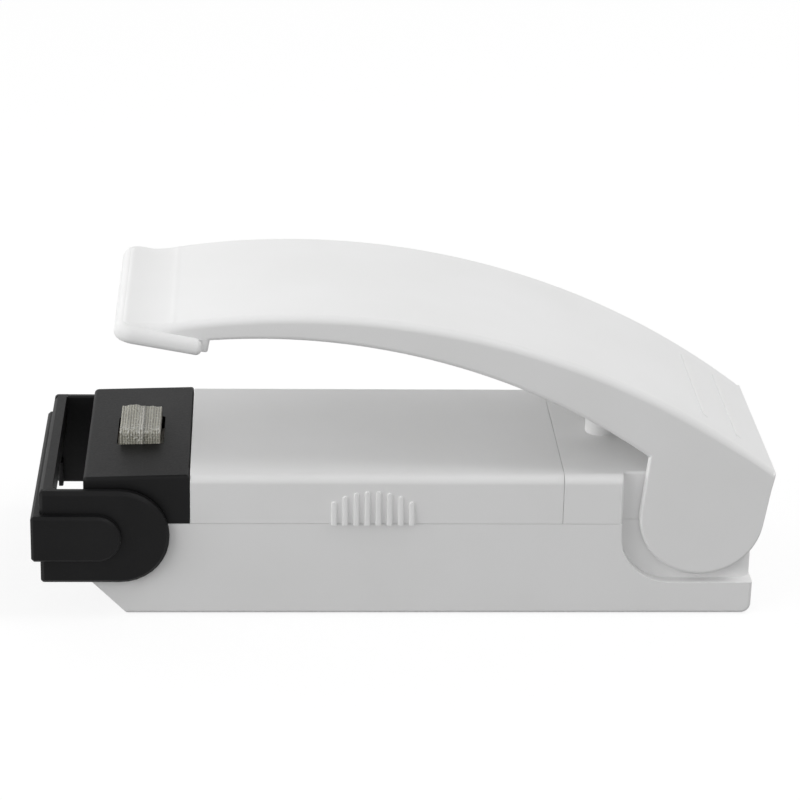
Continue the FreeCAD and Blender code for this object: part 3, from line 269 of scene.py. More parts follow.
def hot_patch():
    """Folded strip as a grid: one way round the fold, the other over the heater from hem to hem.

    The fold runs from the lapped edge on top, left over the upper layer, round below and back over the right.
    """
    turn = np.linspace(0, np.pi, 7)[1:-1]
    left, right, lap, small = -47.3, -41.0, -44.1, 0.08
    upper_left = np.linspace(lap + 0.5, left + small, 14)
    lower = np.linspace(left + small, right - small, 20)[1:-1]
    upper_right = np.linspace(right - small, lap - 0.2, 14)
    fold = np.concatenate([upper_left, left + small - small * np.sin(turn), lower,
                           right - small + small * np.sin(turn), upper_right])
    curl = 0.1 * np.linspace(1, 0, len(upper_left)) ** 2
    lift = np.concatenate([2 * small + curl, small + small * np.cos(turn), np.zeros(len(lower)),
                           small - small * np.cos(turn), np.full(len(upper_right), 2 * small)])
    corner = np.linspace(0, np.pi / 2, 8)[1:-1]
    half, top, hem, radius = 5.2, 25.25, 21.8, 0.45
    flat_half, shoulder = half - radius, top - radius
    run_y = np.concatenate([np.full(8, -half), -flat_half - radius * np.cos(corner),
                            np.linspace(-flat_half, flat_half, 36),
                            flat_half + radius * np.sin(corner), np.full(8, half)])
    run_z = np.concatenate([np.linspace(hem, shoulder, 8), shoulder + radius * np.sin(corner),
                            np.full(36, top), shoulder + radius * np.cos(corner),
                            np.linspace(shoulder, hem, 8)])
    step_y, step_z = np.gradient(run_y), np.gradient(run_z)
    size = np.hypot(step_y, step_z)
    out_y, out_z = -step_z / size, step_y / size
    x = np.broadcast_to(fold[:, None], (len(fold), len(run_y)))
    pucker = 0.06 * np.sin(2.1 * x + 1.3 * run_y) * np.sin(0.9 * run_y - 0.6 * x) + 0.04 * np.sin(5.0 * x)
    loose = np.clip((lap + 1.2 - x) / 1.2, 0, 1) * np.clip(run_y / half, 0, 1)
    slack = 0.3 * loose * np.sin(np.pi * (x - left) / 3.6) ** 2
    upper = lift[:, None] > 1.5 * small
    high = lift[:, None] + np.where(upper, pucker + slack, 0.0)
    y = run_y + out_y * high
    z = run_z + out_z * high
    length = np.concatenate([[0], np.cumsum(np.hypot(np.diff(run_y), np.diff(run_z)))])
    width = np.concatenate([[0], np.cumsum(np.hypot(np.diff(fold), np.diff(lift)))])
    threads = np.stack(np.broadcast_arrays(width[:, None] / THREAD_PITCH, length / THREAD_PITCH), axis=-1)
    return np.stack([x, y, z], axis=-1), threads


def lay_patch():
    """The grid as a sheet with its thread map, given the cloth's thickness by a modifier."""
    grid, threads = hot_patch()
    index = np.arange(grid.shape[0] * grid.shape[1]).reshape(grid.shape[:2])
    faces = np.stack([index[:-1, :-1], index[1:, :-1], index[1:, 1:], index[:-1, 1:]], axis=-1).reshape(-1, 4)
    mesh = bpy.data.meshes.new("hot_patch")
    mesh.from_pydata((grid.reshape(-1, 3) * MM).tolist(), [], faces.tolist())
    weave_map = mesh.uv_layers.new(name="threads")
    weave_map.data.foreach_set("uv", threads.reshape(-1, 2)[faces.ravel()].ravel())
    mesh.shade_smooth()
    mesh.materials.append(glass_cloth())
    piece = bpy.data.objects.new("hot_patch", mesh)
    bpy.context.collection.objects.link(piece)
    thickness = piece.modifiers.new("cloth", "SOLIDIFY")
    thickness.thickness = 0.08 * MM
    thickness.offset = 0.0
    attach(piece, "base")
    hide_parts("cloth_cover")


lay_patch()


# Head: the cap over the heater, with the window that the heater stands through. Moulded in black
# heat-proof plastic with a spark-eroded satin skin, and screwed from below.
PARTING, ROOF, HALF_WIDTH = 15.44, 23.5, 19.0
SHARP = 0.04


def moulded_black():
    material, shader, place = finish("black_plastic", Specular_IOR_Level=0.14)
    pits = cloud(place, 3000.0, 3.0)
    haze = cloud(place, 120.0, 3.0)
    shade(spread(haze, 0.3, 0.75), (0.006, 0.006, 0.0063), (0.010, 0.010, 0.0104)).into(shader, "Base Color")
    (0.36 + 0.16 * pits + 0.08 * haze).into(shader, "Roughness")
    relief(pits, 0.35, 0.00005).into(shader, "Normal")
    return material


black_plastic = moulded_black()


def ring(left, right, low, high, radii, steps=10):
    """Rounded rectangle, a quarter circle at each corner: right high, left high, left low, right low."""
    size = np.broadcast_to(radii, 4)[:, None]
    angle = np.arange(4)[:, None] * np.pi / 2 + np.linspace(0, np.pi / 2, steps)
    across = np.array([[right], [left], [left], [right]]) + size * (np.cos(angle) + [[-1], [1], [1], [-1]])
    up = np.array([[high], [high], [low], [low]]) + size * (np.sin(angle) + [[-1], [-1], [1], [1]])
    return np.stack([across.ravel(), up.ravel()], axis=-1)


def inset(left, right, low, high, radii, depth):
    """The same rounded rectangle, moved in by a depth on every side."""
    left_over = np.maximum(np.subtract(radii, depth), SHARP)
    return ring(left + depth, right - depth, low + depth, high - depth, left_over)


def raised(outline, level):
    """Outline in plan, lifted to a level."""
    return np.column_stack([outline, np.full(len(outline), level)])


def skin(loops, joined=False):
    """Closed shell through a row of loops: four-sided faces between neighbours and one face over each end.

    Joined, the last loop leads back to the first, and there are no ends.
    """
    loops = np.asarray(loops)
    index = np.arange(loops.shape[0] * loops.shape[1]).reshape(loops.shape[:2])
    here = index if joined else index[:-1]
    beyond = np.roll(index, -1, axis=0) if joined else index[1:]
    sides = np.stack([here, np.roll(here, -1, 1), np.roll(beyond, -1, 1), beyond], axis=-1).reshape(-1, 4)
    return loops.reshape(-1, 3), sides, [] if joined else [index[0][::-1], index[-1]]


def put(name, shells, material, body, slot, *stands_for):
    """One object from shells in millimetres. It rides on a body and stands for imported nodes."""
    starts = np.cumsum([0] + [len(points) for points, _, _ in shells])
    sides = np.concatenate([faces + start for start, (_, faces, _) in zip(starts, shells)])
    ends = [(end + start).tolist() for start, (_, _, pair) in zip(starts, shells) for end in pair]
    points = np.concatenate([points for points, _, _ in shells]) * MM
    mesh = bpy.data.meshes.new(name)
    mesh.from_pydata(points.tolist(), [], sides.tolist() + ends)
    form = bmesh.new()
    form.from_mesh(mesh)
    same_place = 0.0002 * MM
    bmesh.ops.remove_doubles(form, verts=form.verts, dist=same_place)
    bmesh.ops.dissolve_degenerate(form, edges=form.edges, dist=same_place)
    bmesh.ops.recalc_face_normals(form, faces=form.faces)
    form.to_mesh(mesh)
    form.free()
    mesh.shade_smooth()
    mesh.set_sharp_from_angle(angle=math.radians(38))
    mesh.materials.append(material)
    piece = bpy.data.objects.new(name, mesh)
    bpy.context.collection.objects.link(piece)
    piece.modifiers.new("flat_faces", "WEIGHTED_NORMAL").keep_sharp = True
    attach(piece, body)
    if stands_for:
        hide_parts(*stands_for)
    return piece


def bend(radius, steps=6):
    """Quarter round of an edge: how far each step lies in from the side, and how far up from the start."""
    angle = np.linspace(0, np.pi / 2, steps)
    return radius * (1 - np.cos(angle)), radius * np.sin(angle)


def head_cap():
    """A wall profile carried round the plan: outside, rounded rim, top, window and the hollow underneath.

    The top falls a little towards the front.
    """
    front, back, wall, rim, lip, fall = -52.5, -36.1, 1.8, 0.6, 0.3, 0.028
    outer = (front, back, -HALF_WIDTH, HALF_WIDTH, [0.25, 0.8, 0.8, 0.25])
    window = (-47.85, -40.45, -5.8, 5.8, 0.5)
    room = ring(front + wall, back - wall, wall - HALF_WIDTH, HALF_WIDTH - wall, 0.4)
    ceiling = ROOF - wall
    rim_in, rim_up = bend(rim)
    lip_in, lip_up = (step[::-1] for step in bend(lip, 4))
    loops = [raised(inset(*outer, 0.0), PARTING)]
    loops += [raised(inset(*outer, depth), ROOF - rim + up) for depth, up in zip(rim_in, rim_up)]
    loops += [raised(inset(*window, depth - lip), ROOF - lip + up) for depth, up in zip(lip_in, lip_up)]
    loops += [raised(inset(*window, 0.0), ceiling), raised(room, ceiling), raised(room, PARTING)]
    loops = np.array(loops)
    on_roof = loops[..., 2] > ROOF - wall / 2
    loops[..., 2] -= np.where(on_roof, fall * (back - loops[..., 0]), 0.0)
    return skin(loops, joined=True)


put("head_cap", [head_cap()], black_plastic, "base", "black_plastic", "heater_head")
dress(black_plastic, "pad_holder")


# Bail: a loop round the nose, with an arm on each side that turns on a stub pivot in the housing, and a
# raised band round its outside. One moulding in the same black plastic.


def slant(size):
    """Broken edge: a short steep step, a long one at 45 degrees and a short flat one; in, and up."""
    step = np.array([0.0, 0.09, 0.82, 1.0]) * size
    return step, size - step[::-1]


def bail_arm(side):
    """Side outline with a round rear end, carried outwards; the outer edges are broken."""
    arm = (-59.19, -39.2, 6.01, 21.44, [7.7, 0.6, 0.6, 7.7])
    band = (-59.6, -46.6, 10.16, 17.74, [3.79, 0.8, 0.8, 3.79])
    shells = []
    for outline, start, top, edge in ((arm, 19.2, 20.89, 0.65), (band, 20.3, 22.19, 0.5)):
        edge_in, edge_out = slant(edge)
        levels = [(0.25, start), (0.0, start + 0.25)] + list(zip(edge_in, top - edge + edge_out))
        flat = [(inset(*outline, depth), level) for depth, level in levels]
        shells.append(skin([np.column_stack([line[:, 0], np.full(len(line), side * level), line[:, 1]])
                            for line, level in flat]))
    return shells


def bail_front(left, half, tail, thick, low, high, edge):
    """Upright section with broken outer edges, carried from one arm round the front to the other.

    In plan, each point of the section follows the outer line moved in by its depth.
    """
    edge_in, edge_up = slant(edge)
    depths = np.concatenate([edge_in[::-1], edge_in, [thick, thick]])
    levels = np.concatenate([high - edge + edge_up[::-1], low + edge - edge_up, [low, high]])
    plans = []
    for depth, level in zip(depths, levels):
        left_over = max(edge - depth, SHARP)
        plan_in, plan_out = slant(left_over)
        corner = np.column_stack([left + depth + plan_in, half - depth - left_over + plan_out])[::-1]
        ends = np.array([[tail, half - depth]])
        side = np.vstack([ends, corner])
        plans.append(raised(np.vstack([side, side[::-1] * [1, -1]]), level))
    return skin(np.stack(plans, axis=1))


def upright(left, right, low, high, foot, top, radius=0.25):
    """Plain post between two levels, with rounded upright edges."""
    outline = ring(left, right, low, high, radius, 4)
    return skin([raised(outline, foot), raised(outline, top)])


bail_shells = bail_arm(-1) + bail_arm(1)
bail_shells.append(bail_front(-59.2, 20.9, -57.0, 2.0, 17.0, 21.45, 0.65))
bail_shells.append(bail_front(-60.5, 22.2, -58.2, 1.4, 10.15, 17.75, 0.5))
bail_shells += [upright(-58.7, -57.95, *sorted((side * 17.3, side * 19.4)), 6.1, 10.3) for side in (-1, 1)]
put("bail", bail_shells, black_plastic, "bail", "black_plastic", "guard")


# Battery cover: the lid over the cells, a white moulding like the housing. Eight arched ribs on each side
# give the fingers a grip, and tongues inside hold it between the housing's walls.


def channel(half, height, inner, wall, crown, rim):
    """Sections of an upturned channel, as distances across and up, one row for each station.

    The right half runs from the middle of the top over the rounded upper edge, down the side, round the foot
    of the wall and up the inside to the middle of the ceiling; the left half is its mirror image. Where
    inner, the height of the hollow, is 0 the section is solid.
    """
    half, height, inner, crown, rim = (np.atleast_1d(np.asarray(item, float))[:, None]
                                       for item in np.broadcast_arrays(half, height, inner, crown, rim))
    crown = np.minimum(crown, 0.75 * height)
    rim = np.minimum(rim, 0.2 * height)
    foot = np.minimum(0.3, 0.45 * inner)
    share = np.linspace(0, 1, 5)[:-1]
    quarter = np.linspace(0, np.pi / 2, 8)
    hollow = half - wall
    across = [share * (half - crown), half - crown + crown * np.sin(quarter),
              half - rim + rim * np.cos(quarter), hollow + foot - foot * np.sin(quarter),
              hollow - foot + foot * np.cos(quarter), (1 - share[1:]) * (hollow - foot)]
    up = [height + 0 * share, height - crown + crown * np.cos(quarter), rim - rim * np.sin(quarter),
          foot - foot * np.cos(quarter), inner - foot + foot * np.sin(quarter), inner + 0 * share[1:]]
    across = np.concatenate([np.broadcast_to(item, (len(half), item.shape[-1])) for item in across], axis=1)
    up = np.concatenate([np.broadcast_to(item, (len(half), item.shape[-1])) for item in up], axis=1)
    middle = inner[:, :1]
    return (np.concatenate([across, 0 * middle, -across[:, :0:-1]], axis=1),
            np.concatenate([up, middle, up[:, :0:-1]], axis=1))


def lid(stations, half, height, inner, wall, crown, rim, low):
    """Channel carried straight along the body."""
    across, up = channel(half, height, inner, wall, crown, rim)
    along = np.broadcast_to(np.asarray(stations, float)[:, None], across.shape)
    return skin(np.stack([along, across, low + up], axis=-1))


def cover_lid():
    """The lid's walls, with a small round at each end and solid end walls of 1.2 mm."""
    edge_in, edge_out = bend(0.06, 4)
    stations = np.concatenate([-35.97 - edge_out[::-1], [-34.7, -34.7, 20.7, 20.7], 21.92 + edge_out])
    depth = np.concatenate([edge_in[::-1], np.zeros(4), edge_in])
    hollow = np.concatenate([np.zeros(5), [6.2, 6.2], np.zeros(5)])
    return lid(stations, HALF_WIDTH - depth, ROOF - PARTING - depth, hollow, 2.2, 1.5, 0.05, PARTING)


def grip_rib(place, top, side):
    """Flat bar with a round upper end; it stands out most at its foot and leans back into the wall above."""
    angle = np.linspace(0, np.pi, 14)
    flank = np.sign(np.cos(angle)) * np.abs(np.cos(angle)) ** 0.7
    dome, sunk = 0.42, 0.1
    edge_in, edge_up = bend(dome)
    level = np.concatenate([np.linspace(PARTING, top - dome, 6), top - dome + edge_up[1:]])[:, None]
    half = np.concatenate([np.linspace(0.46, 0.40, 6), 0.40 - 0.9 * edge_in[1:]])[:, None]
    proud = 0.22 + 0.5 * (top - level) / (top - PARTING)
    out = side * (HALF_WIDTH - sunk + (sunk + proud) * np.sin(angle) ** 0.35)
    return skin(np.stack(np.broadcast_arrays(place + half * flank, out, level), axis=-1))


def grip_places():
    """Where the ribs stand and how high each reaches, under one arch."""
    middle, pitch, foot, side_height, arch_height = -7.7, 1.73, 15.5, 3.7, 5.45
    along = (np.arange(8) - 3.5) * pitch
    span, rise = along[-1], arch_height - side_height
    radius = (span ** 2 + rise ** 2) / (2 * rise)
    return middle + along, foot + arch_height - radius + np.sqrt(radius ** 2 - along ** 2)


cover_shells = [cover_lid()]
cover_shells += [grip_rib(place, top, side) for side in (-1, 1) for place, top in zip(*grip_places())]
cover_shells += [upright(middle - 4.0, middle + 4.0, *sorted((side * 15.8, side * 17.0)), 13.9, 22.0)
                 for side in (-1, 1) for middle in (-24.0, 10.0)]
put("cover_lid", cover_shells, white_abs, "cover", "white_plastic", "battery_cover")


# Rear cover: the deck behind the battery cover. It closes the switch's room and the hinge, and narrows
# between the lever's cheeks. Moulded in the same white ABS and screwed from below.


def deck():
    """Channel along the body that steps in at the cheeks and has round corners in plan at its rear."""
    neck, rear, tall = 17.0, 50.1, ROOF - PARTING
    edge_in, edge_out = bend(0.06, 4)
    corner_in, corner_out = bend(2.4, 10)
    stations = np.concatenate([22.09 - edge_out[::-1], [23.9, 23.9, 29.5, 29.5, 31.05, 31.3, 31.3, rear],
                               rear + corner_out[1:]])
    half = np.concatenate([HALF_WIDTH - edge_in[::-1], np.full(5, HALF_WIDTH), [HALF_WIDTH - 0.25],
                           [neck, neck], neck - corner_in[1:]])
    height = np.concatenate([tall - edge_in[::-1], np.full(16, tall), [tall - 0.5]])
    hollow = np.concatenate([np.zeros(5), [6.2, 6.2], np.zeros(14)])
    crown = np.concatenate([np.full(10, 1.5), np.full(11, 0.4)])
    return lid(stations, half, height, hollow, 1.8, crown, 0.05, PARTING)


put("deck", [deck()], white_abs, "base", "white_plastic", "rear_cover")


# Switch: the plunger that the lever pushes down, moulded in the same white ABS, and the spring under it that
# lifts it again. The spring is wound from zinc-coated wire and stands on the housing's floor.
SPRING_FOOT, SPRING_TOP, STROKE = 1.851, 17.791, 2.63
PLUNGER_PLACE = 29.5


def wound_wire(radius, wire, turns):
    """Round wire carried up a helix, with each ring of the wire square to its run."""
    angle = np.linspace(0, 2 * np.pi * turns, 32 * turns + 1)[:, None]
    climb = (SPRING_TOP - SPRING_FOOT - wire) / angle[-1, 0]
    out = np.hstack([np.cos(angle), np.sin(angle), 0 * angle])
    run = np.hstack([-radius * np.sin(angle), radius * np.cos(angle), climb + 0 * angle])
    side = np.cross(run / np.linalg.norm(run, axis=1)[:, None], out)
    path = radius * out + [PLUNGER_PLACE, 0.0, SPRING_FOOT + wire / 2] + climb * angle * [0, 0, 1]
    round_ = np.linspace(0, 2 * np.pi, 12, endpoint=False)[:, None]
    return skin(path[:, None] + wire / 2 * (np.cos(round_) * out[:, None] + np.sin(round_) * side[:, None]))


dress(white_abs, "switch_plunger")
spring = put("plunger_spring", [wound_wire(2.7, 0.6, 7)], zinc_steel, "base", "spring_steel", "return_spring")
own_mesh(spring)


# Press lever: a long arched channel with two cheeks that hang over the hinge, and a flat lip under its tip
# that carries the press pad. One white moulding; ribs under the top stiffen it and push the switch.
HINGE = np.array([43.9, 16.4])
OPEN_ANGLE = math.radians(10.4)
ARCH_TOP, ARCH_RADIUS = np.array([-20.0, 49.647]), 122.486
SKIRT_TOP, SKIRT_RADIUS = np.array([-25.5, 45.847]), 104.582
CREASE, DIP_RADIUS, TIP = -38.5, 23.0, -46.61
FOOT_END, SKIRT_START, LEVER_EDGE = -33.76, -33.38, 1.2
HEEL = np.array([55.0, 24.0])
CHEEK = np.array([35.1, 26.5])
KNUCKLE = 9.8


def arch(x, top, radius):
    """Height of an arch at a place along the body."""
    return top[1] - radius + np.sqrt(radius ** 2 - (x - top[0]) ** 2)


def crest(x):
    """Height of the lever's top: the wide arch, a faint crease, and ahead of it a shallow dip to the tip."""
    fold = np.array([CREASE, arch(CREASE, ARCH_TOP, ARCH_RADIUS)])
    outward = (fold - ARCH_TOP + [0, ARCH_RADIUS]) / ARCH_RADIUS
    middle = fold + DIP_RADIUS * outward
    dip = middle[1] - np.sqrt(np.maximum(DIP_RADIUS ** 2 - (x - middle[0]) ** 2, 0))
    ridge = 0.05 * np.exp(-((x - CREASE) / 0.4) ** 2)
    return np.where(x > CREASE, arch(x, ARCH_TOP, ARCH_RADIUS), dip) + ridge


def tilted(outline, up):
    """Outline along and across the lowered foot, at a height over the hinge, turned up by the open angle."""
    level, climb = math.cos(OPEN_ANGLE), math.sin(OPEN_ANGLE)
    return np.stack([HINGE[0] + outline[:, 0] * level + up * climb, outline[:, 1],
                     HINGE[1] - outline[:, 0] * climb + up * level], axis=-1)


def knuckle_touch(point, side):
    """Where a straight line from a point touches the knuckle's circle."""
    away = point - HINGE
    far = away @ away
    turned = np.array([-away[1], away[0]])
    return HINGE + away * KNUCKLE ** 2 / far + side * turned * KNUCKLE * math.sqrt(far - KNUCKLE ** 2) / far


def nose_lines():
    """Upper and lower line of the solid foot from the tip back to the channel, its half width and its edge.

    In plan its corners are round. The top edge is rounded at the front, and more at the sides near the tip.
    """
    corner = 2.4
    corner_in, corner_out = bend(corner, 14)
    straight = np.linspace(TIP + corner + 0.2, FOOT_END, 50)
    along = np.concatenate([TIP + corner - corner_out[::-1], straight])
    short = np.maximum(LEVER_EDGE - (along - TIP), 0.0)
    top = crest(along) - LEVER_EDGE + np.sqrt(np.maximum(LEVER_EDGE ** 2 - short ** 2, 0.0))
    back = along + (SKIRT_START - FOOT_END) * (along - TIP) / (FOOT_END - TIP)
    deep = np.interp(along, [-38.0, -34.5], [13.2, 14.8])
    sole = HINGE[1] + deep / math.cos(OPEN_ANGLE) - (back - HINGE[0]) * math.tan(OPEN_ANGLE)
    half = HALF_WIDTH - np.concatenate([corner_in[::-1], np.zeros(len(straight))])
    crown = np.interp(along, [TIP, -37.0], [2.2, LEVER_EDGE])
    return np.stack([along, top], axis=-1), np.stack([back, sole], axis=-1), half, crown


def arm_lines():
    """Upper and lower line of the channel: skirt, front of the cheek, knuckle and rear edge up to the heel.

    Along the skirt each lower point is paired with the upper point on the same radius of the arch; behind it
    both lines are walked in equal shares.
    """
    along = np.linspace(SKIRT_START, CHEEK[0], 60)
    skirt = np.stack([along, arch(along, SKIRT_TOP, SKIRT_RADIUS)], axis=-1)
    centre = ARCH_TOP - [0, ARCH_RADIUS]
    ray = skirt - centre
    over = centre + ARCH_RADIUS * ray / np.linalg.norm(ray, axis=1)[:, None]
    first, last = knuckle_touch(CHEEK, 1), knuckle_touch(HEEL, -1)
    full = 2 * np.pi
    start, stop = (math.atan2(*(point - HINGE)[::-1]) % full for point in (first, last))
    turn = np.linspace(start, stop + (full if stop < np.pi else 0), 48)
    round_ = HINGE + KNUCKLE * np.stack([np.cos(turn), np.sin(turn)], axis=-1)
    share = np.linspace(0, 1, 14)[1:, None]
    lower = np.concatenate([CHEEK + share * (first - CHEEK), round_[1:], last + share * (HEEL - last)])
    step = np.linalg.norm(np.diff(np.vstack([skirt[-1:], lower]), axis=0), axis=1)
    reach = over[-1, 0] + (HEEL[0] - over[-1, 0]) * np.cumsum(step) / step.sum()
    upper = np.stack([reach, arch(reach, ARCH_TOP, ARCH_RADIUS)], axis=-1)
    upper[-1] = HEEL + [0.0, 0.02]
    return np.vstack([over, upper]), np.vstack([skirt, lower])


def arm_shell():
    """The channel carried from the tip to the heel, each section standing on the line from foot to top."""
    nose_top, nose_foot, nose_half, nose_crown = nose_lines()
    arm_top, arm_foot = arm_lines()
    top = np.vstack([nose_top, arm_top])
    foot = np.vstack([nose_foot, arm_foot])
    rise = top - foot
    height = np.linalg.norm(rise, axis=1)
    solid = np.arange(len(top)) < len(nose_top)
    plate, wall = 1.8, 1.7
    half = np.concatenate([nose_half, np.full(len(arm_top), HALF_WIDTH)])
    hollow = np.where(solid, 0.0, np.maximum(height - plate, 0.0))
    crown = np.concatenate([nose_crown, np.full(len(arm_top), LEVER_EDGE)])
    across, up = channel(half, height, hollow, wall, crown, np.where(solid, 0.1, 0.8))
    lean = rise / height[:, None]
    return skin(np.stack([foot[:, :1] + lean[:, :1] * up, across, foot[:, 1:] + lean[:, 1:] * up], axis=-1))


def lip_plate():
    """Flat plate with a full round rim, and the room for the pad's carrier in its underside."""
    plate = (-95.35, -81.85, -20.05, 20.05, [0.8, 3.0, 3.0, 0.8])
    room = ring(-92.8, -82.35, -17.3, 17.3, 0.3)
    rim = list(zip(*bend(1.0, 10)))
    loops = [tilted(room, 14.6), tilted(room, 12.4)]
    loops += [tilted(inset(*plate, 0.9 * depth), 13.3 - 0.9 * up) for depth, up in rim[::-1]]
    loops += [tilted(inset(*plate, 1.3 * depth), 13.35 + 1.65 * up) for depth, up in rim]
    return skin(loops)


def foot_wall():
    """Low wall behind the lip that closes the foot."""
    wall = (-82.4, -80.85, -18.97, 18.97, 0.5)
    edge = list(zip(*bend(0.3, 4)))
    loops = [tilted(inset(*wall, depth), 13.2 - up) for depth, up in edge[::-1]]
    return skin(loops + [tilted(inset(*wall, 0.0), 16.2)])


def stiffener(place):
    """Cross rib under the top, from wall to wall."""
    outline = ring(place - 0.6, place + 0.6, -17.6, 17.6, 0.2, 4)
    over = arch(outline[:, 0], ARCH_TOP, ARCH_RADIUS)
    return skin([np.column_stack([outline, over - depth]) for depth in (4.2, 0.9)])


def switch_rib():
    """Block over the plunger; its lower face is level half way through the stroke."""
    outline = ring(26.0, 33.0, -3.0, 3.0, 0.4, 4)
    half_way, rise = OPEN_ANGLE / 2, 12.5
    face = HINGE[1] + rise / math.cos(half_way) + (HINGE[0] - outline[:, 0]) * math.tan(half_way)
    over = arch(outline[:, 0], ARCH_TOP, ARCH_RADIUS)
    return skin([np.column_stack([outline, face]), np.column_stack([outline, over - 0.9])])


def thumb_ridge(place):
    """Low half-round bar across the top that fades out at both ends."""
    half, fade = 13.5, 0.5
    end = half - bend(fade)[0]
    across = np.concatenate([-end, np.linspace(-12.9, 12.9, 12), end[::-1]])[:, None]
    size = np.sqrt(np.clip(1 - (np.maximum(np.abs(across) - (half - fade), 0) / fade) ** 2, 0.01, 1))
    angle = np.linspace(0, 2 * np.pi, 16, endpoint=False)
    along = place + 0.4 * np.cos(angle) * size
    up = arch(along, ARCH_TOP, ARCH_RADIUS) + np.where(np.sin(angle) > 0, 0.2, 0.4) * np.sin(angle) * size
    return skin(np.stack([along, np.broadcast_to(across, along.shape), up], axis=-1))


lever_shells = [arm_shell(), lip_plate(), foot_wall(), switch_rib()]
lever_shells += [stiffener(place) for place in (-12.0, 4.0, 20.0)]
lever_shells += [thumb_ridge(place) for place in (44.3, 49.7)]
put("press_arm", lever_shells, white_abs, "press_lever", "white_plastic", "lever")


# Press pad: the block in its seat under the lip that squeezes the bag on the hot patch. Moulded in soft, matt
# silicone and held by its carrier; its face stops just clear of the patch when the lever is down.


def soft_silicone():
    material, shader, place = finish("soft_silicone", Subsurface_Weight=0.15, Subsurface_Scale=0.5,
                                     Subsurface_Radius=(0.002, 0.0017, 0.0014))
    dust = spread(cloud(place, 700.0, 3.0), 0.4, 0.8)
    shade(dust, (0.65, 0.63, 0.60), (0.69, 0.68, 0.66)).into(shader, "Base Color")
    (0.48 + 0.15 * dust).into(shader, "Roughness")
    relief(dust + 0.5 * cloud(place, 200.0), 0.12, 0.00005).into(shader, "Normal")
    return material


def pad_block():
    """Rounded block that bulges a little half way down; its working face is crowned by a soft edge."""
    block = (-92.25, -83.85, -7.0, 7.0, 1.0)
    top, shoulder, bulge = 13.6, 10.28, 0.12
    edge_in, edge_up = bend(0.9, 8)
    level = np.concatenate([np.linspace(top, shoulder, 12), shoulder - edge_up[1:]])
    swell = np.concatenate([-bulge * np.sin(np.linspace(0, np.pi, 12)), edge_in[1:]])
    return skin([tilted(inset(*block, depth), up) for depth, up in zip(swell, level)])


put("pad_block", [pad_block()], soft_silicone(), "press_lever", "silicone", "press_pad")


# Camera, floor and light: the object stands on a plain white floor, under a soft lamp overhead and a wide one
# from the front left. The fill from all round is brighter near the horizon, most of all behind on the left.
camera = bpy.data.objects.new("camera", bpy.data.cameras.new("camera"))
camera.data.sensor_width = 36.0
camera.data.lens = 132.88
yaw, pitch, roll = np.radians([3.135, 21.621, 1.349])
ahead = np.array([math.sin(yaw) * math.cos(pitch), math.cos(yaw) * math.cos(pitch), -math.sin(pitch)])
level = np.array([math.cos(yaw), -math.sin(yaw), 0.0])
plumb = np.cross(level, ahead)
right = math.cos(roll) * level + math.sin(roll) * plumb
upward = math.cos(roll) * plumb - math.sin(roll) * level
turn = Matrix(np.column_stack([right, upward, -ahead]).tolist()).to_4x4()
camera.matrix_world = Matrix.Translation((-26.87 * MM, -438.51 * MM, 202.70 * MM)) @ turn
camera.data.clip_start = 0.01
bpy.context.collection.objects.link(camera)
bpy.context.scene.camera = camera

floor_mesh = bpy.data.meshes.new("floor")
reach, under = 1.5, -0.1 * MM
floor_mesh.from_pydata([(-reach, -reach, under), (reach, -reach, under), (reach, reach, under),
                        (-reach, reach, under)], [], [(0, 1, 2, 3)])
floor = bpy.data.objects.new("floor", floor_mesh)
bpy.context.collection.objects.link(floor)


def seen(tree):
    """1 on rays from the camera, from a mirror or through glass, 0 on light that bounces about."""
    rays = Tone(tree)
    path = [rays.node("ShaderNodeLightPath", output=name)
            for name in ("Is Camera Ray", "Is Glossy Ray", "Is Transmission Ray")]
    return rays.maths("MAXIMUM", rays.maths("MAXIMUM", path[0], path[1]), path[2])


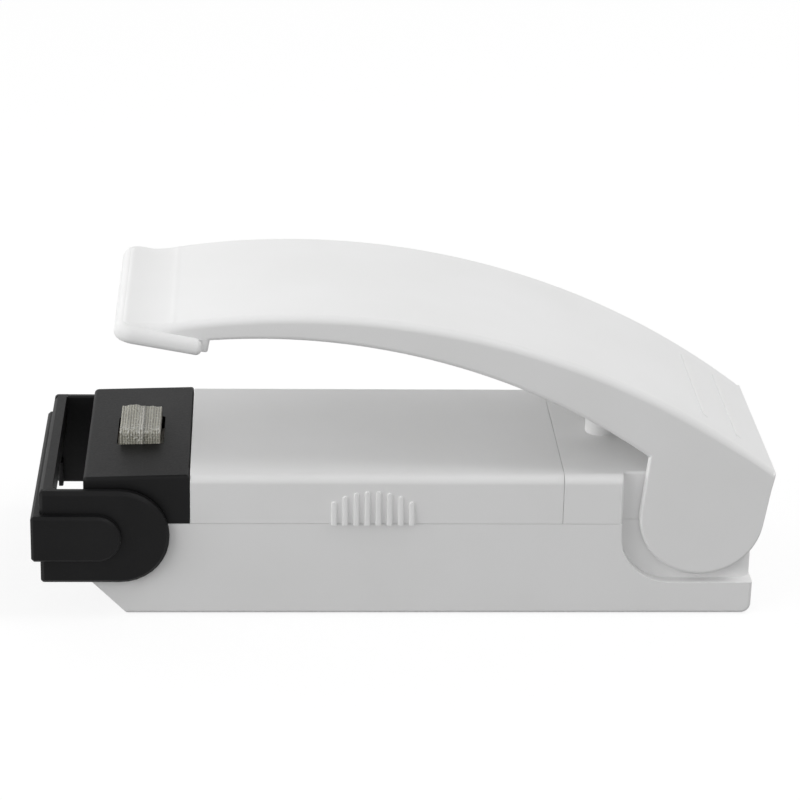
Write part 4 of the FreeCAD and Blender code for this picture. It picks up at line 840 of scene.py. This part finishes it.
def white_floor():
    material = bpy.data.materials.new("white_floor")
    material.use_nodes = True
    tree = material.node_tree
    tree.nodes.remove(tree.nodes["Principled BSDF"])
    mask = seen(tree)
    paper = mask.node("ShaderNodeBsdfDiffuse", None, {"Color": shade(mask, (0.3, 0.3, 0.3), (0.9, 0.9, 0.9))})
    glow = mask.node("ShaderNodeEmission", None, {"Color": (1, 1, 1, 1), "Strength": 1.08})
    mixed = mask.node("ShaderNodeMixShader", None, {0: 0.75 * mask, 1: paper, 2: glow})
    mixed.into(tree.nodes["Material Output"], "Surface")
    return material


floor_mesh.materials.append(white_floor())
world = bpy.data.worlds.new("studio")
bpy.context.scene.world = world
world.use_nodes = True
mask = seen(world.node_tree)
direction = mask.node("ShaderNodeTexCoord")
split = direction.node("ShaderNodeSeparateXYZ", None, {0: direction}).socket.node.outputs
along, across, height = (Tone(mask.tree, split[axis]) for axis in range(3))
low = mask.maths("POWER", 1.0 - mask.maths("MAXIMUM", height, 0.0), 3.0)
behind = mask.maths("MAXIMUM", 0.7 * across - 0.7 * along, 0.0)
backdrop = mask.node("ShaderNodeBackground", None, {"Color": (1, 1, 1, 1), "Strength": 1.0})
strength = 0.50 + 0.42 * low + 3.1 * low * behind
fill = mask.node("ShaderNodeBackground", None, {"Color": (1, 1, 1, 1), "Strength": strength})
mixed = mask.node("ShaderNodeMixShader", None, {0: mask, 1: fill, 2: backdrop})
mixed.into(world.node_tree.nodes["World Output"], "Surface")


def lamp(name, place, aim, width, power):
    """Square soft lamp at a place, turned to face a point."""
    light = bpy.data.lights.new(name, "AREA")
    light.size = width
    light.energy = power
    made = bpy.data.objects.new(name, light)
    made.location = place
    made.rotation_mode = "QUATERNION"
    made.rotation_quaternion = (Vector(place) - Vector(aim)).to_track_quat("Z", "Y")
    bpy.context.collection.objects.link(made)


aim = (0.0, 0.0, 0.02)
lamp("overhead", (0.38, -0.1, 0.75), aim, 0.35, 1.75)
lamp("key", (-0.72, -0.42, 0.36), aim, 0.8, 2.5)

bpy.context.scene.view_settings.view_transform = "Standard"
